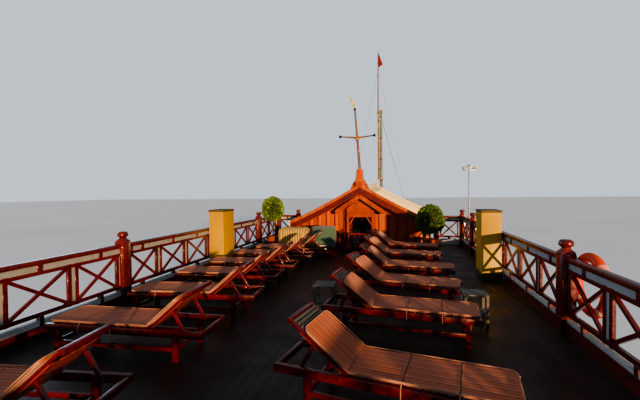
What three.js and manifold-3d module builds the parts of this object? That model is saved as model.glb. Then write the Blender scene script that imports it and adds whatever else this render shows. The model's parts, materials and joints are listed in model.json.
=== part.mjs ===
// Wooden sightseeing junk with two cabin decks and an open sun deck.
// Millimetres. +X to the bow, +Y to port, +Z up.
// Origin on the centreline, amidships, on the waterline.

import * as THREE from "three";
import { mergeVertices } from "three/addons/utils/BufferGeometryUtils.js";
import Module from "manifold-3d";

const wasm = await Module();
wasm.setup();

// Driving dimensions
const GAP = 0.3;
const MAIN_DECK = 1250;
const FORE_DECK = 2000;
const POOP_DECK = 1900;
const UPPER_DECK = 3600;
const UPPER_SLAB = 120;
const SUN_DECK = 5800;
const SUN_SLAB = 140;
const BULWARK = 110;
const WALL = 80;
const KEEL_HALF = 100;

// Hull sections: x, keel height, rail height, half breadth, bluntness (smaller is fuller)
const HULL_STATIONS = [
  [-15500, 1150, 3300, 2850, 0.62],
  [-14500, 420, 3060, 3250, 0.60],
  [-13200, -160, 2760, 3500, 0.56],
  [-11500, -720, 2460, 3680, 0.52],
  [-9000, -1150, 2210, 3820, 0.47],
  [-6000, -1380, 2060, 3900, 0.44],
  [-2500, -1480, 2000, 3900, 0.42],
  [1500, -1500, 2020, 3880, 0.43],
  [5000, -1460, 2150, 3720, 0.47],
  [8000, -1300, 2430, 3380, 0.54],
  [10500, -950, 2820, 2820, 0.64],
  [12500, -350, 3250, 2160, 0.74],
  [14000, 500, 3660, 1500, 0.82],
  [15000, 1500, 3960, 980, 0.90],
  [15500, 2150, 4120, 700, 0.95],
];
// Section rows, from keel to rail: share of the height, how far the row stands proud (wale and cap rail)
const SECTION_ROWS = [
  [0, 0], [0.03, 0], [0.09, 0], [0.2, 0], [0.36, 0], [0.55, 0], [0.7, 0],
  [0.705, 60], [0.76, 60], [0.765, 0], [0.955, 0], [0.96, 70], [1, 70],
];
const WELL_ROWS = [[0, 0], [0.12, 0], [0.3, 0], [0.6, 0], [0.8, 0], [1, 0]];

// Underwater gear
const SHAFT_Z = -1050;
const BOSS_X = -12500;
const RUDDER_X = -13350;
const STOCK_R = 55;
const SOLE_TOP = -1680;

// Houses, all half widths and end positions
const SALOON = { x0: -12000, x1: 7000, half: 3050 };
const CABIN = { x0: -12400, x1: 1050, half: 2550 };
const HOUSE = { x0: 1050, x1: 7700, half: 2150 };
const SUN = { x0: -14200, wing: 2300, half: 3450 };

// Gabled house roof: x, ridge height, eave height, eave half width
const ROOF_STATIONS = [
  [700, 7850, 6640, 2330],
  [2600, 7810, 6600, 2330],
  [5400, 7850, 6600, 2330],
  [7600, 7930, 6640, 2360],
  [8500, 8000, 6760, 2400],
];
const ROOF_THICK = 90;
const ROOF_SAG = 60;

// Sun deck railing
const RAIL_Y = 3300;
const HANDRAIL_TOP = 980;
const COAMING = 200;
const TRUNK_X = [-2830, -2290];
const TRUNK_Y = [2860, 3240];
const TRUNK_TOP = 1420;

// Sun loungers: side (1 port, -1 starboard), x and y of the knee line, turn aft in degrees
const LOUNGERS = [
  [1, -8380, 1500, 7],
  [1, -6920, 1450, 3],
  [1, -5600, 1470, 7],
  [1, -4400, 1560, 5],
  [1, -3420, 1520, 4],
  [1, -2300, 1460, 5],
  [1, -1250, 1330, 9],
  [-1, -7450, -870, 10],
  [-1, -5780, -920, 6],
  [-1, -4410, -920, 12],
  [-1, -3190, -1000, 6],
  [-1, -1700, -920, 11],
  [-1, -350, -1000, 12],
];

// Masts
const FOREMAST = { x: 11500, y: -130, r: 90, top: 12650 };
const TOPMAST = { x: 11500, y: 25, r: 55, top: 16250 };
const STAY_R = 14;

const colours = {
  hull: 0x5a2b18,
  house: 0xb35a1c,
  darkWood: 0x5c2014,
  redWood: 0x8e2a12,
  deck: 0x3b2a20,
  cream: 0xe6dcae,
  yellow: 0xd9a91f,
  mast: 0x7f7a70,
  steel: 0x9aa0a3,
  bronze: 0x8a6a30,
  leaf: 0x3f6a1f,
  orange: 0xe2571c,
  red: 0xa51414,
  pad: 0xa4503c,
  straw: 0xb9a26a,
  teal: 0x3e6a60,
};

function material(colour, roughness = 0.6, metalness = 0) {
  return new THREE.MeshStandardMaterial({ color: colour, roughness, metalness });
}

// Closed geometry to solid and back
function solid(geometry) {
  const plain = geometry.clone();
  plain.deleteAttribute("normal");
  plain.deleteAttribute("uv");
  const merged = mergeVertices(plain, 1e-3);
  return new wasm.Manifold(new wasm.Mesh({
    numProp: 3,
    vertProperties: new Float32Array(merged.attributes.position.array),
    triVerts: new Uint32Array(merged.index.array),
  }));
}

function geometryOf(shape) {
  const mesh = shape.getMesh();
  const geometry = new THREE.BufferGeometry();
  geometry.setAttribute("position", new THREE.BufferAttribute(new Float32Array(mesh.vertProperties), 3));
  geometry.setIndex(new THREE.BufferAttribute(new Uint32Array(mesh.triVerts), 1));
  geometry.computeVertexNormals();
  return geometry;
}

function join(solids) {
  return solids.reduce((sum, next) => sum.add(next));
}

function cut(body, tools) {
  return tools.reduce((rest, tool) => rest.subtract(tool), body);
}

// Box by its two corners
function box(x0, x1, y0, y1, z0, z1) {
  const geometry = new THREE.BoxGeometry(x1 - x0, y1 - y0, z1 - z0);
  geometry.translate((x0 + x1) / 2, (y0 + y1) / 2, (z0 + z1) / 2);
  return solid(geometry);
}

// Round bar between two points, with a radius at each end
function rod(from, to, r0, r1 = r0, sides = 12) {
  const a = new THREE.Vector3(...from);
  const b = new THREE.Vector3(...to);
  const along = new THREE.Vector3().subVectors(b, a);
  const geometry = new THREE.CylinderGeometry(r1, r0, along.length(), sides);
  const turn = new THREE.Quaternion().setFromUnitVectors(new THREE.Vector3(0, 1, 0), along.normalize());
  geometry.applyQuaternion(turn);
  geometry.translate((a.x + b.x) / 2, (a.y + b.y) / 2, (a.z + b.z) / 2);
  return solid(geometry);
}

// Square bar between two points; wide is level, high is across it
function bar(from, to, wide, high) {
  const a = new THREE.Vector3(...from);
  const b = new THREE.Vector3(...to);
  const along = new THREE.Vector3().subVectors(b, a);
  const level = new THREE.Vector3(-along.y, along.x, 0);
  if (level.length() < 1e-6) {
    level.set(0, 1, 0);
  }
  level.normalize();
  const length = along.length();
  along.normalize();
  const up = new THREE.Vector3().crossVectors(along, level);
  const geometry = new THREE.BoxGeometry(length, wide, high);
  geometry.applyMatrix4(new THREE.Matrix4().makeBasis(along, level, up));
  geometry.translate((a.x + b.x) / 2, (a.y + b.y) / 2, (a.z + b.z) / 2);
  return solid(geometry);
}

// Plate with an outline in the XZ plane, from y0 to y1
function plateXZ(points, y0, y1) {
  const shape = new THREE.Shape(points.map(([x, z]) => new THREE.Vector2(x, z)));
  const geometry = new THREE.ExtrudeGeometry(shape, { depth: y1 - y0, bevelEnabled: false });
  geometry.rotateX(Math.PI / 2);
  geometry.translate(0, y1, 0);
  return solid(geometry);
}

// Plate with an outline in the YZ plane, from x0 to x1
function plateYZ(points, x0, x1) {
  const shape = new THREE.Shape(points.map(([y, z]) => new THREE.Vector2(y, z)));
  const geometry = new THREE.ExtrudeGeometry(shape, { depth: x1 - x0, bevelEnabled: false });
  geometry.applyMatrix4(new THREE.Matrix4().makeBasis(
    new THREE.Vector3(0, 1, 0), new THREE.Vector3(0, 0, 1), new THREE.Vector3(1, 0, 0)));
  geometry.translate(x0, 0, 0);
  return solid(geometry);
}

// Level plate with an outline in the XY plane, from z0 to z1
function plateXY(points, z0, z1) {
  const shape = new THREE.Shape(points.map(([x, y]) => new THREE.Vector2(x, y)));
  const geometry = new THREE.ExtrudeGeometry(shape, { depth: z1 - z0, bevelEnabled: false });
  geometry.translate(0, 0, z0);
  return solid(geometry);
}

// Turned piece on a vertical axis: profile of radius and height
function turned(profile, x, y, sides = 16) {
  const geometry = new THREE.LatheGeometry(profile.map(([r, z]) => new THREE.Vector2(r, z)), sides);
  geometry.rotateX(Math.PI / 2);
  geometry.translate(x, y, 0);
  return solid(geometry);
}

// Skin through closed outlines of equal point count, closed at both ends
function loft(sections) {
  const count = sections[0].length;
  const positions = sections.flat(2);
  const index = [];
  for (let s = 0; s + 1 < sections.length; s += 1) {
    for (let i = 0; i < count; i += 1) {
      const a = s * count + i;
      const b = s * count + (i + 1) % count;
      index.push(a, b, b + count, a, b + count, a + count);
    }
  }
  const flat = (points) => points.map(([, y, z]) => new THREE.Vector2(y, z));
  const last = (sections.length - 1) * count;
  for (const [i, j, k] of THREE.ShapeUtils.triangulateShape(flat(sections[0]), [])) {
    index.push(k, j, i);
  }
  for (const [i, j, k] of THREE.ShapeUtils.triangulateShape(flat(sections.at(-1)), [])) {
    index.push(last + i, last + j, last + k);
  }
  const geometry = new THREE.BufferGeometry();
  geometry.setAttribute("position", new THREE.Float32BufferAttribute(positions, 3));
  geometry.setIndex(index);
  return solid(geometry);
}

const pieces = new THREE.Group();

function place(name, body, colour, roughness, metalness) {
  const geometry = body.isBufferGeometry ? body : geometryOf(body);
  const mesh = new THREE.Mesh(geometry, material(colour, roughness, metalness));
  mesh.name = name;
  pieces.add(mesh);
  return mesh;
}

const mirrorName = (side) => (side > 0 ? "port" : "starboard");

// Values of the hull table at any x
function hullAt(x) {
  const rows = HULL_STATIONS;
  let k = 0;
  while (k + 2 < rows.length && rows[k + 1][0] < x) {
    k += 1;
  }
  const t = (x - rows[k][0]) / (rows[k + 1][0] - rows[k][0]);
  const between = (c) => rows[k][c] + t * (rows[k + 1][c] - rows[k][c]);
  const [keel, rail, half, blunt] = [1, 2, 3, 4].map(between);
  return { keel, rail, half, blunt };
}

function hullHalf(x, z) {
  const { keel, rail, half, blunt } = hullAt(x);
  const s = Math.min(1, Math.max(0, (z - keel) / (rail - keel)));
  return Math.max(KEEL_HALF, half * Math.pow(1 - Math.pow(1 - s, 3), blunt));
}

// Hull skin through the section rows, drawn in by an inset, its top row lifted
function hullLoft(rows, inset, lift) {
  return loft(HULL_STATIONS.map(([x, keel, rail]) => {
    const side = rows.map(([share, proud]) => {
      const z = keel + share * (rail - keel);
      return [Math.max(KEEL_HALF / 2, hullHalf(x, z) + proud - inset), z + (share === 1 ? lift : 0)];
    });
    const port = side.map(([y, z]) => [x, y, z]);
    const starboard = side.map(([y, z]) => [x, -y, z]).reverse();
    return [...port, ...starboard];
  }));
}

// Hull with bulwarks, deck wells, wales, cap rail, keel, shaft boss and heel sole
const CHAINPLATES = [[11100, 1], [11100, -1]];
const CHAINPLATE_R = 45;
const STEM_EYE = [15250, 0, 4120];
// Post on the stem head for the forestay, grown to cut the stay short of it
function stemEye(grow) {
  const [x, y, z] = STEM_EYE;
  return rod([x, y, z - 250], [x, y, z + 120 + grow], 60 + grow, 60 + grow, 12);
}
function makeHull() {
  const wells = [
    [-15380, -12500, POOP_DECK],
    [-12500.5, 9400, MAIN_DECK],
    [9399.5, 15320, FORE_DECK],
  ].map(([x0, x1, deck]) => hullLoft(WELL_ROWS, BULWARK, 400)
    .intersect(box(x0, x1, -4000, 4000, deck, 6000)));
  const bow = hullAt(15500);
  const stern = hullAt(-15500);
  const transomCaps = [
    box(15350, 15540, -bow.half, bow.half, bow.rail - 60, bow.rail + 40),
    box(-15540, -15350, -stern.half, stern.half, stern.rail - 60, stern.rail + 40),
  ];
  const keel = plateXZ([
    [-12350, -100], [-12350, -1780], [-6000, -1780], [3000, -1700], [9000, -1200],
    [9000, -1000], [3000, -1300], [-6000, -1200],
  ], -KEEL_HALF, KEEL_HALF);
  const sole = box(-14150, -12300, -75, 75, -1780, SOLE_TOP);
  const boss = rod([BOSS_X, 0, SHAFT_Z], [-11600, 0, SHAFT_Z], 130, 130, 20);
  const bollards = [[13700, 700], [13700, -700], [-13600, 2500], [-13600, -2500]].map(([x, y]) => {
    const deck = x > 0 ? FORE_DECK : POOP_DECK;
    return join([
      rod([x - 150, y, deck - 50], [x - 150, y, deck + 420], 75, 75, 6),
      rod([x + 150, y, deck - 50], [x + 150, y, deck + 420], 75, 75, 6),
      rod([x - 330, y, deck + 260], [x + 330, y, deck + 260], 35, 35, 6),
    ]);
  });
  const plates = CHAINPLATES.map(([x, side]) => {
    const { rail, half } = hullAt(x);
    const y = side * half;
    return rod([x, y, rail - 200], [x, y, rail + 130], CHAINPLATE_R, CHAINPLATE_R, 12);
  });
  const eye = stemEye(0);
  const stem = box(STEM_EYE[0] - 80, 15400, -bow.half, bow.half, bow.rail - 180, bow.rail + 20);
  const shell = cut(hullLoft(SECTION_ROWS, 0, 0), wells);
  const stock = rod([RUDDER_X, 0, -800], [RUDDER_X, 0, 600], STOCK_R + 6, STOCK_R + 6, 24);
  return cut(join([shell, keel, sole, boss, stem, eye, ...transomCaps, ...bollards, ...plates]),
    [stock]);
}

const hullBody = makeHull();
place("hull", hullBody, colours.hull, 0.55);

// Rudder on the heel sole, stock running up into the counter
function makeRudder() {
  const stock = rod([RUDDER_X, 0, SOLE_TOP + GAP], [RUDDER_X, 0, 560], STOCK_R, STOCK_R, 24);
  const blade = plateXZ([
    [RUDDER_X + 60, -1600], [RUDDER_X + 60, -330], [-13900, -250], [-14080, -500], [-14120, -1500],
    [-14020, -1600],
  ], -35, 35);
  return stock.add(blade);
}
place("rudder", makeRudder(), colours.hull, 0.6);

// Four bladed propeller, just aft of the shaft boss
const BLADE_THICK = 26;
function makePropeller() {
  const hubEnd = BOSS_X - 300;
  const hub = rod([BOSS_X - GAP, 0, SHAFT_Z], [hubEnd, 0, SHAFT_Z], 115, 70, 16);
  const blades = [0, 1, 2, 3].map((n) => {
    const outline = new THREE.Shape();
    outline.absellipse(0, 265, 130, 185, 0, Math.PI * 2, false, 0);
    const geometry = new THREE.ExtrudeGeometry(outline, {
      depth: BLADE_THICK, bevelEnabled: false, curveSegments: 5,
    });
    geometry.translate(0, 0, -BLADE_THICK / 2);
    geometry.rotateY(Math.PI / 2 - 0.6);
    geometry.rotateX(Math.PI / 2);
    geometry.rotateX(n * Math.PI / 2 + 0.3);
    geometry.translate(BOSS_X - 140, 0, SHAFT_Z);
    return solid(geometry);
  });
  return join([hub, ...blades]);
}
place("propeller", makePropeller(), colours.bronze, 0.35, 0.9);

// Row of rectangular openings through a side wall
function windowRow(first, pitch, count, wide, z0, z1, y) {
  return Array.from({ length: count }, (_, n) => {
    const x = first + n * pitch;
    return box(x - wide / 2, x + wide / 2, y - 200, y + 200, z0, z1);
  });
}

// Saloon on the main deck: four walls and the forward door
const SALOON_TOP = UPPER_DECK - UPPER_SLAB - GAP;
for (const side of [1, -1]) {
  const y0 = side > 0 ? SALOON.half - WALL : -SALOON.half;
  const wall = box(SALOON.x0, SALOON.x1, y0, y0 + WALL, MAIN_DECK + GAP, SALOON_TOP);
  const windows = windowRow(-11000, 2125, 9, 1350, 2150, 3120, side * SALOON.half);
  place(`saloon_side_${mirrorName(side)}`, cut(wall, windows), colours.house, 0.45);
}
const SALOON_IN = SALOON.half - WALL - GAP;
const SALOON_DOOR = { y: 450, z0: MAIN_DECK + 60, z1: 3200 };
const saloonFront = cut(
  box(SALOON.x1 - WALL, SALOON.x1, -SALOON_IN, SALOON_IN, MAIN_DECK + GAP, SALOON_TOP),
  [
    box(6800, 7200, -SALOON_DOOR.y, SALOON_DOOR.y, SALOON_DOOR.z0, SALOON_DOOR.z1),
    box(6800, 7200, 900, 2300, 2150, 3120),
    box(6800, 7200, -2300, -900, 2150, 3120),
  ],
);
// Door hinge in its own frame: pin at the origin, x out of the wall, the leaf along hand times y
const HINGE_R = 22;
const HINGE_OUT = 30;
const HINGE_IN = 12;
const DOOR_THICK = 45;
const DOOR_FLOOR_GAP = 6;
const LUG_TOP = 150;
function spanY(hand, y0, y1) {
  return [Math.min(hand * y0, hand * y1), Math.max(hand * y0, hand * y1)];
}
function hingeLug(hand) {
  return join([
    rod([0, 0, LUG_TOP - 60], [0, 0, LUG_TOP], HINGE_R, HINGE_R, 12),
    box(-16, 15, ...spanY(-hand, 0, 60), LUG_TOP - 60, LUG_TOP - 10),
    box(-HINGE_OUT - 15, 15, ...spanY(-hand, HINGE_IN + 6, 60), LUG_TOP - 60, LUG_TOP - 10),
  ]);
}
function doorLeaf(wide, high, hand) {
  const back = -HINGE_OUT - DOOR_THICK;
  const leaf = cut(box(back, -HINGE_OUT, ...spanY(hand, 0, wide), DOOR_FLOOR_GAP, high), [
    box(back - 10, back + DOOR_THICK / 2, ...spanY(hand, 130, wide - 130), 180, high * 0.42),
    box(back - 10, 0, ...spanY(hand, 130, wide - 130), high * 0.52, high - 160),
  ]);
  const pin = rod([0, 0, LUG_TOP + GAP], [0, 0, LUG_TOP + 140], HINGE_R, HINGE_R, 12);
  const strap = box(-HINGE_OUT - 5, 10, ...spanY(hand, 0, 60), LUG_TOP + 20, LUG_TOP + 110);
  return join([leaf, pin, strap]);
}
// The same solid turned about the vertical and moved
function moved(shape, x, y, z, turn = 0) {
  const geometry = geometryOf(shape);
  geometry.rotateZ(turn);
  geometry.translate(x, y, z);
  return solid(geometry);
}
const SALOON_HINGE = { x: SALOON.x1 + HINGE_OUT, y: SALOON_DOOR.y - HINGE_IN };
const saloonLug = moved(hingeLug(-1), SALOON_HINGE.x, SALOON_HINGE.y, SALOON_DOOR.z0);
place("saloon_front", saloonFront.add(saloonLug), colours.house, 0.45);
place("saloon_back", cut(
  box(SALOON.x0, SALOON.x0 + WALL, -SALOON_IN, SALOON_IN, MAIN_DECK + GAP, SALOON_TOP),
  [box(-12200, -11800, -2000, -700, 2150, 3120), box(-12200, -11800, 700, 2000, 2150, 3120)],
), colours.house, 0.45);

const saloonDoor = place("saloon_door",
  doorLeaf(SALOON_DOOR.y * 2 - 2 * HINGE_IN, SALOON_DOOR.z1 - SALOON_DOOR.z0 - 12, -1),
  colours.redWood, 0.4);
saloonDoor.position.set(SALOON_HINGE.x, SALOON_HINGE.y, SALOON_DOOR.z0);

// Upper deck slab with the posts that carry its edge
// Slab outline: x, half width
const UPPER_OUTLINE = [
  [-14700, 3280], [-12000, 3480], [-8600, 3700], [4200, 3700], [7000, 3330], [9300, 2830],
];
const POST_HALF = 55;
const UPPER_POST_X = [-13900, -11000, -8200, -5400, -2600, 300, 3100, 6000, 8900];
function upperHalf(x) {
  const k = UPPER_OUTLINE.slice(1).findIndex(([end]) => x <= end);
  const [x0, y0] = UPPER_OUTLINE[k];
  const [x1, y1] = UPPER_OUTLINE[k + 1];
  return y0 + (y1 - y0) * (x - x0) / (x1 - x0);
}
function makeUpperDeck() {
  const outline = [...UPPER_OUTLINE.map(([x, y]) => [x, -y]), ...[...UPPER_OUTLINE].reverse()];
  const slab = plateXY(outline, UPPER_DECK - UPPER_SLAB, UPPER_DECK);
  const posts = [1, -1].flatMap((side) => UPPER_POST_X.map((x) => {
    const deck = x < -12500 ? POOP_DECK : MAIN_DECK;
    const hullEdge = Math.min(hullHalf(x - 60, deck), hullHalf(x + 60, deck)) - BULWARK;
    const y = side * Math.min(upperHalf(x) - 90, hullEdge - POST_HALF - 20);
    return box(x - POST_HALF, x + POST_HALF, y - POST_HALF, y + POST_HALF,
      deck + GAP, UPPER_DECK - 50);
  }));
  return join([slab, ...posts]);
}
place("upper_deck", makeUpperDeck(), colours.darkWood, 0.5);

// Cabins on the upper deck
const CABIN_TOP = SUN_DECK - SUN_SLAB - GAP;
const CABIN_DOOR = { x0: -900, x1: -200, z0: UPPER_DECK + 50, z1: 5500 };
const CABIN_HINGE = { x: CABIN_DOOR.x1 - HINGE_IN, y: CABIN.half + HINGE_OUT };
for (const side of [1, -1]) {
  const y0 = side > 0 ? CABIN.half - WALL : -CABIN.half;
  const wall = box(CABIN.x0, CABIN.x1 - GAP, y0, y0 + WALL, UPPER_DECK + GAP, CABIN_TOP);
  const windows = windowRow(-11500, 1950, 6, 1000, 4400, 5350, side * CABIN.half);
  const doorway = box(CABIN_DOOR.x0, CABIN_DOOR.x1, side * CABIN.half - 200, side * CABIN.half + 200,
    CABIN_DOOR.z0, CABIN_DOOR.z1);
  const turn = side * Math.PI / 2;
  const yHinge = side * CABIN_HINGE.y;
  const lug = moved(hingeLug(side), CABIN_HINGE.x, yHinge, CABIN_DOOR.z0, turn);
  place(`cabin_side_${mirrorName(side)}`, cut(wall, [...windows, doorway]).add(lug), colours.house, 0.45);
  const door = place(`cabin_door_${mirrorName(side)}`,
    doorLeaf(CABIN_DOOR.x1 - CABIN_DOOR.x0 - 2 * HINGE_IN, CABIN_DOOR.z1 - CABIN_DOOR.z0 - 12, side),
    colours.redWood, 0.4);
  door.position.set(CABIN_HINGE.x, yHinge, CABIN_DOOR.z0);
  door.rotation.z = turn;
}
const CABIN_IN = CABIN.half - WALL - GAP;
place("cabin_back", cut(
  box(CABIN.x0, CABIN.x0 + WALL, -CABIN_IN, CABIN_IN, UPPER_DECK + GAP, CABIN_TOP),
  [box(-12600, -12200, -1700, -500, 4400, 5350), box(-12600, -12200, 500, 1700, 4400, 5350)],
), colours.house, 0.45);

// Board in a railing's own plane: an outline with holes, as thick as an upright
const BRACE = 44;
const UPRIGHT = 40;
const STILE = 87;
function board(outline, holes, frame) {
  const path = (points) => points.map(([u, z]) => new THREE.Vector2(u, z));
  const shape = new THREE.Shape(path(outline));
  shape.holes.push(...holes.map((hole) => new THREE.Path(path(hole))));
  const geometry = new THREE.ExtrudeGeometry(shape, { depth: UPRIGHT, bevelEnabled: false });
  geometry.translate(0, 0, -UPRIGHT / 2);
  geometry.applyMatrix4(frame);
  return solid(geometry);
}

// The four openings left by crossed braces
function braceOpenings(u0, u1, z0, z1) {
  const slant = Math.hypot(u1 - u0, z1 - z0);
  const du = (BRACE / 2) * slant / (z1 - z0);
  const dz = (BRACE / 2) * slant / (u1 - u0);
  const [uc, zc] = [(u0 + u1) / 2, (z0 + z1) / 2];
  return [
    [[u0 + du, z1], [uc, zc + dz], [u1 - du, z1]],
    [[u0 + du, z0], [u1 - du, z0], [uc, zc - dz]],
    [[u0, z0 + dz], [uc - du, zc], [u0, z1 - dz]],
    [[u1, z0 + dz], [u1, z1 - dz], [uc + du, zc]],
  ];
}

// Railing run between two points, with crossed braces in its panels where the run is braced
function railRun(from, to, panels, base, top, low, braced) {
  const length = Math.hypot(to[0] - from[0], to[1] - from[1]);
  const [z0, z1] = [low + 90, top - 200];
  const along = new THREE.Vector3((to[0] - from[0]) / length, (to[1] - from[1]) / length, 0);
  const up = new THREE.Vector3(0, 0, 1);
  const frame = new THREE.Matrix4().makeBasis(along, up, new THREE.Vector3().crossVectors(along, up));
  frame.setPosition(from[0], from[1], base);
  if (panels === 0) {
    return [board([[0, low + 40], [length, low + 40], [length, top - 60], [0, top - 60]], [
      [[UPRIGHT, z0], [length - UPRIGHT, z0], [length - UPRIGHT, z1], [UPRIGHT, z1]]], frame)];
  }
  const pitch = length / panels;
  return Array.from({ length: panels }, (_, n) => {
    const [start, end] = [n * pitch, (n + 1) * pitch];
    const outline = [[start, low + 40], [end, low + 40], [end, top - 60], [start, top - 60]];
    const [u0, u1] = [start + STILE, end - STILE];
    const open = braced ? braceOpenings(u0, u1, z0, z1) : [[[u0, z0], [u1, z0], [u1, z1], [u0, z1]]];
    return board(outline, open, frame);
  });
}

function handrail(points, base, top) {
  const middle = base + top - 35;
  return points.slice(1).map((to, n) => bar([...points[n], middle], [...to, middle], 90, 70));
}

// Square newel post with a narrow neck and a low cap
const NEWEL_HALF = 86;
function newel(x, y) {
  const at = (z) => [x, y, SUN_DECK + z];
  return join([
    box(x - NEWEL_HALF, x + NEWEL_HALF, y - NEWEL_HALF, y + NEWEL_HALF,
      SUN_DECK + GAP, SUN_DECK + 1040),
    rod(at(1035), at(1095), 84, 56, 8),
    rod(at(1090), at(1150), 64, 86, 8),
    rod(at(1145), at(1190), 86, 58, 8),
  ]);
}

// Sun deck with its coaming and the companion hatch
const COAMING_HALF = 30;
const RAIL_AFT = -14050;
const RAIL_FORE = 2150;
const RAIL_INNER = 2460;
const HATCH = { x0: 250, half: 365 };
const NEWELS = [-14050, -11100, -8280, -5460, 350, 2150];
const RAIL_SPANS = [
  [-14050, -11100, 3],
  [-11100, -8280, 3],
  [-8280, -5460, 3],
  [-5460, TRUNK_X[0], 3],
  [TRUNK_X[0], TRUNK_X[1], 0],
  [TRUNK_X[1], 350, 3],
  [350, RAIL_FORE, 2],
];
function makeSunDeck() {
  const edge = HOUSE.x0 - GAP;
  const inner = HOUSE.half + GAP;
  const slab = plateXY([
    [SUN.x0, -SUN.half], [SUN.wing, -SUN.half], [SUN.wing, -inner], [edge, -inner],
    [edge, inner], [SUN.wing, inner], [SUN.wing, SUN.half], [SUN.x0, SUN.half],
  ], SUN_DECK - SUN_SLAB, SUN_DECK);
  const kerb = (x0, x1, y0, y1) => box(x0 - COAMING_HALF, x1 + COAMING_HALF,
    y0 - COAMING_HALF, y1 + COAMING_HALF, SUN_DECK - 10, SUN_DECK + COAMING);
  const coaming = [
    kerb(RAIL_AFT, RAIL_AFT, -RAIL_Y, RAIL_Y),
    ...[1, -1].flatMap((side) => [
      kerb(RAIL_AFT, RAIL_FORE, side * RAIL_Y, side * RAIL_Y),
      kerb(RAIL_FORE, RAIL_FORE, ...spanY(side, RAIL_INNER, RAIL_Y)),
    ]),
  ];
  const seat = NEWEL_HALF + GAP;
  const foot = (x, y0, y1) => box(x - seat, x + seat, y0 - seat, y1 + seat,
    SUN_DECK, SUN_DECK + 400);
  const feet = [1, -1].flatMap((side) => [
    ...NEWELS.map((x) => foot(x, side * RAIL_Y, side * RAIL_Y)),
    foot(RAIL_FORE, ...spanY(side, RAIL_INNER - 200, RAIL_INNER)),
  ]);
  const hatch = box(HATCH.x0, edge + 50, -HATCH.half, HATCH.half, SUN_DECK - 300, SUN_DECK + 50);
  return cut(join([slab, ...coaming]), [...feet, foot(RAIL_AFT, 0, 0), hatch]);
}
place("sun_deck", makeSunDeck(), colours.deck, 0.35);

const deckRail = (from, to, panels) => railRun(
  from, to, panels, SUN_DECK, HANDRAIL_TOP, COAMING, true);
for (const side of [1, -1]) {
  const y = side * RAIL_Y;
  const corner = [RAIL_FORE, y];
  const inner = [RAIL_FORE, side * RAIL_INNER];
  place(`deck_rail_${mirrorName(side)}`, join([
    ...RAIL_SPANS.flatMap(([x0, x1, panels]) => deckRail([x0, y], [x1, y], panels)),
    ...deckRail(corner, inner, 1),
    ...handrail([[RAIL_AFT, y], corner, inner], SUN_DECK, HANDRAIL_TOP),
    ...NEWELS.map((x) => newel(x, y)),
    newel(...inner),
  ]), colours.darkWood, 0.35);
}
const AFT_RAIL_END = RAIL_Y - NEWEL_HALF - GAP;
place("deck_rail_aft", join([
  ...deckRail([RAIL_AFT, -AFT_RAIL_END], [RAIL_AFT, 0], 3),
  ...deckRail([RAIL_AFT, 0], [RAIL_AFT, AFT_RAIL_END], 3),
  ...handrail([[RAIL_AFT, -AFT_RAIL_END], [RAIL_AFT, AFT_RAIL_END]], SUN_DECK, HANDRAIL_TOP),
  newel(RAIL_AFT, 0),
]), colours.darkWood, 0.35);

// Vent trunks beside the railing, on a dark plinth
for (const side of [1, -1]) {
  const [y0, y1] = spanY(side, ...TRUNK_Y);
  const tier = (proud, z0, z1) => box(TRUNK_X[0] - proud, TRUNK_X[1] + proud,
    y0 - proud, y1 + proud, SUN_DECK + z0, SUN_DECK + z1);
  place(`vent_trunk_${mirrorName(side)}`, join([
    tier(8, GAP, 150), tier(0, 130, TRUNK_TOP - 40), tier(8, TRUNK_TOP - 45, TRUNK_TOP),
  ]), colours.yellow, 0.5);
}

// Veranda on the upper deck: posts under the sun deck and a braced railing round the walkway
const VERANDA_POSTS = [-14100, -11100, -8280, -5460, -2560, 350, 2150];
const VERANDA_BOW = [4300, 6700, 9100];
const VERANDA_Y = 3380;
const VERANDA_RAIL = 1000;
const verandaHalf = (x) => Math.min(VERANDA_Y, upperHalf(x) - 90);
for (const side of [1, -1]) {
  const path = [
    [VERANDA_POSTS[0], side * (POST_HALF + GAP)],
    ...[...VERANDA_POSTS, ...VERANDA_BOW].map((x) => [x, side * verandaHalf(x)]),
    [VERANDA_BOW.at(-1), side * (POST_HALF + GAP)],
  ];
  const post = (x, top) => {
    const y = side * verandaHalf(x);
    return box(x - POST_HALF, x + POST_HALF, y - POST_HALF, y + POST_HALF, UPPER_DECK + GAP, top);
  };
  const run = (to, n) => railRun(path[n], to, 2, UPPER_DECK, VERANDA_RAIL, 0, false);
  place(`veranda_${mirrorName(side)}`, join([
    ...path.slice(1).flatMap(run),
    ...handrail(path, UPPER_DECK, VERANDA_RAIL),
    ...VERANDA_POSTS.map((x) => post(x, CABIN_TOP)),
    ...VERANDA_BOW.map((x) => post(x, UPPER_DECK + VERANDA_RAIL + 60)),
  ]), colours.darkWood, 0.4);
}

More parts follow.
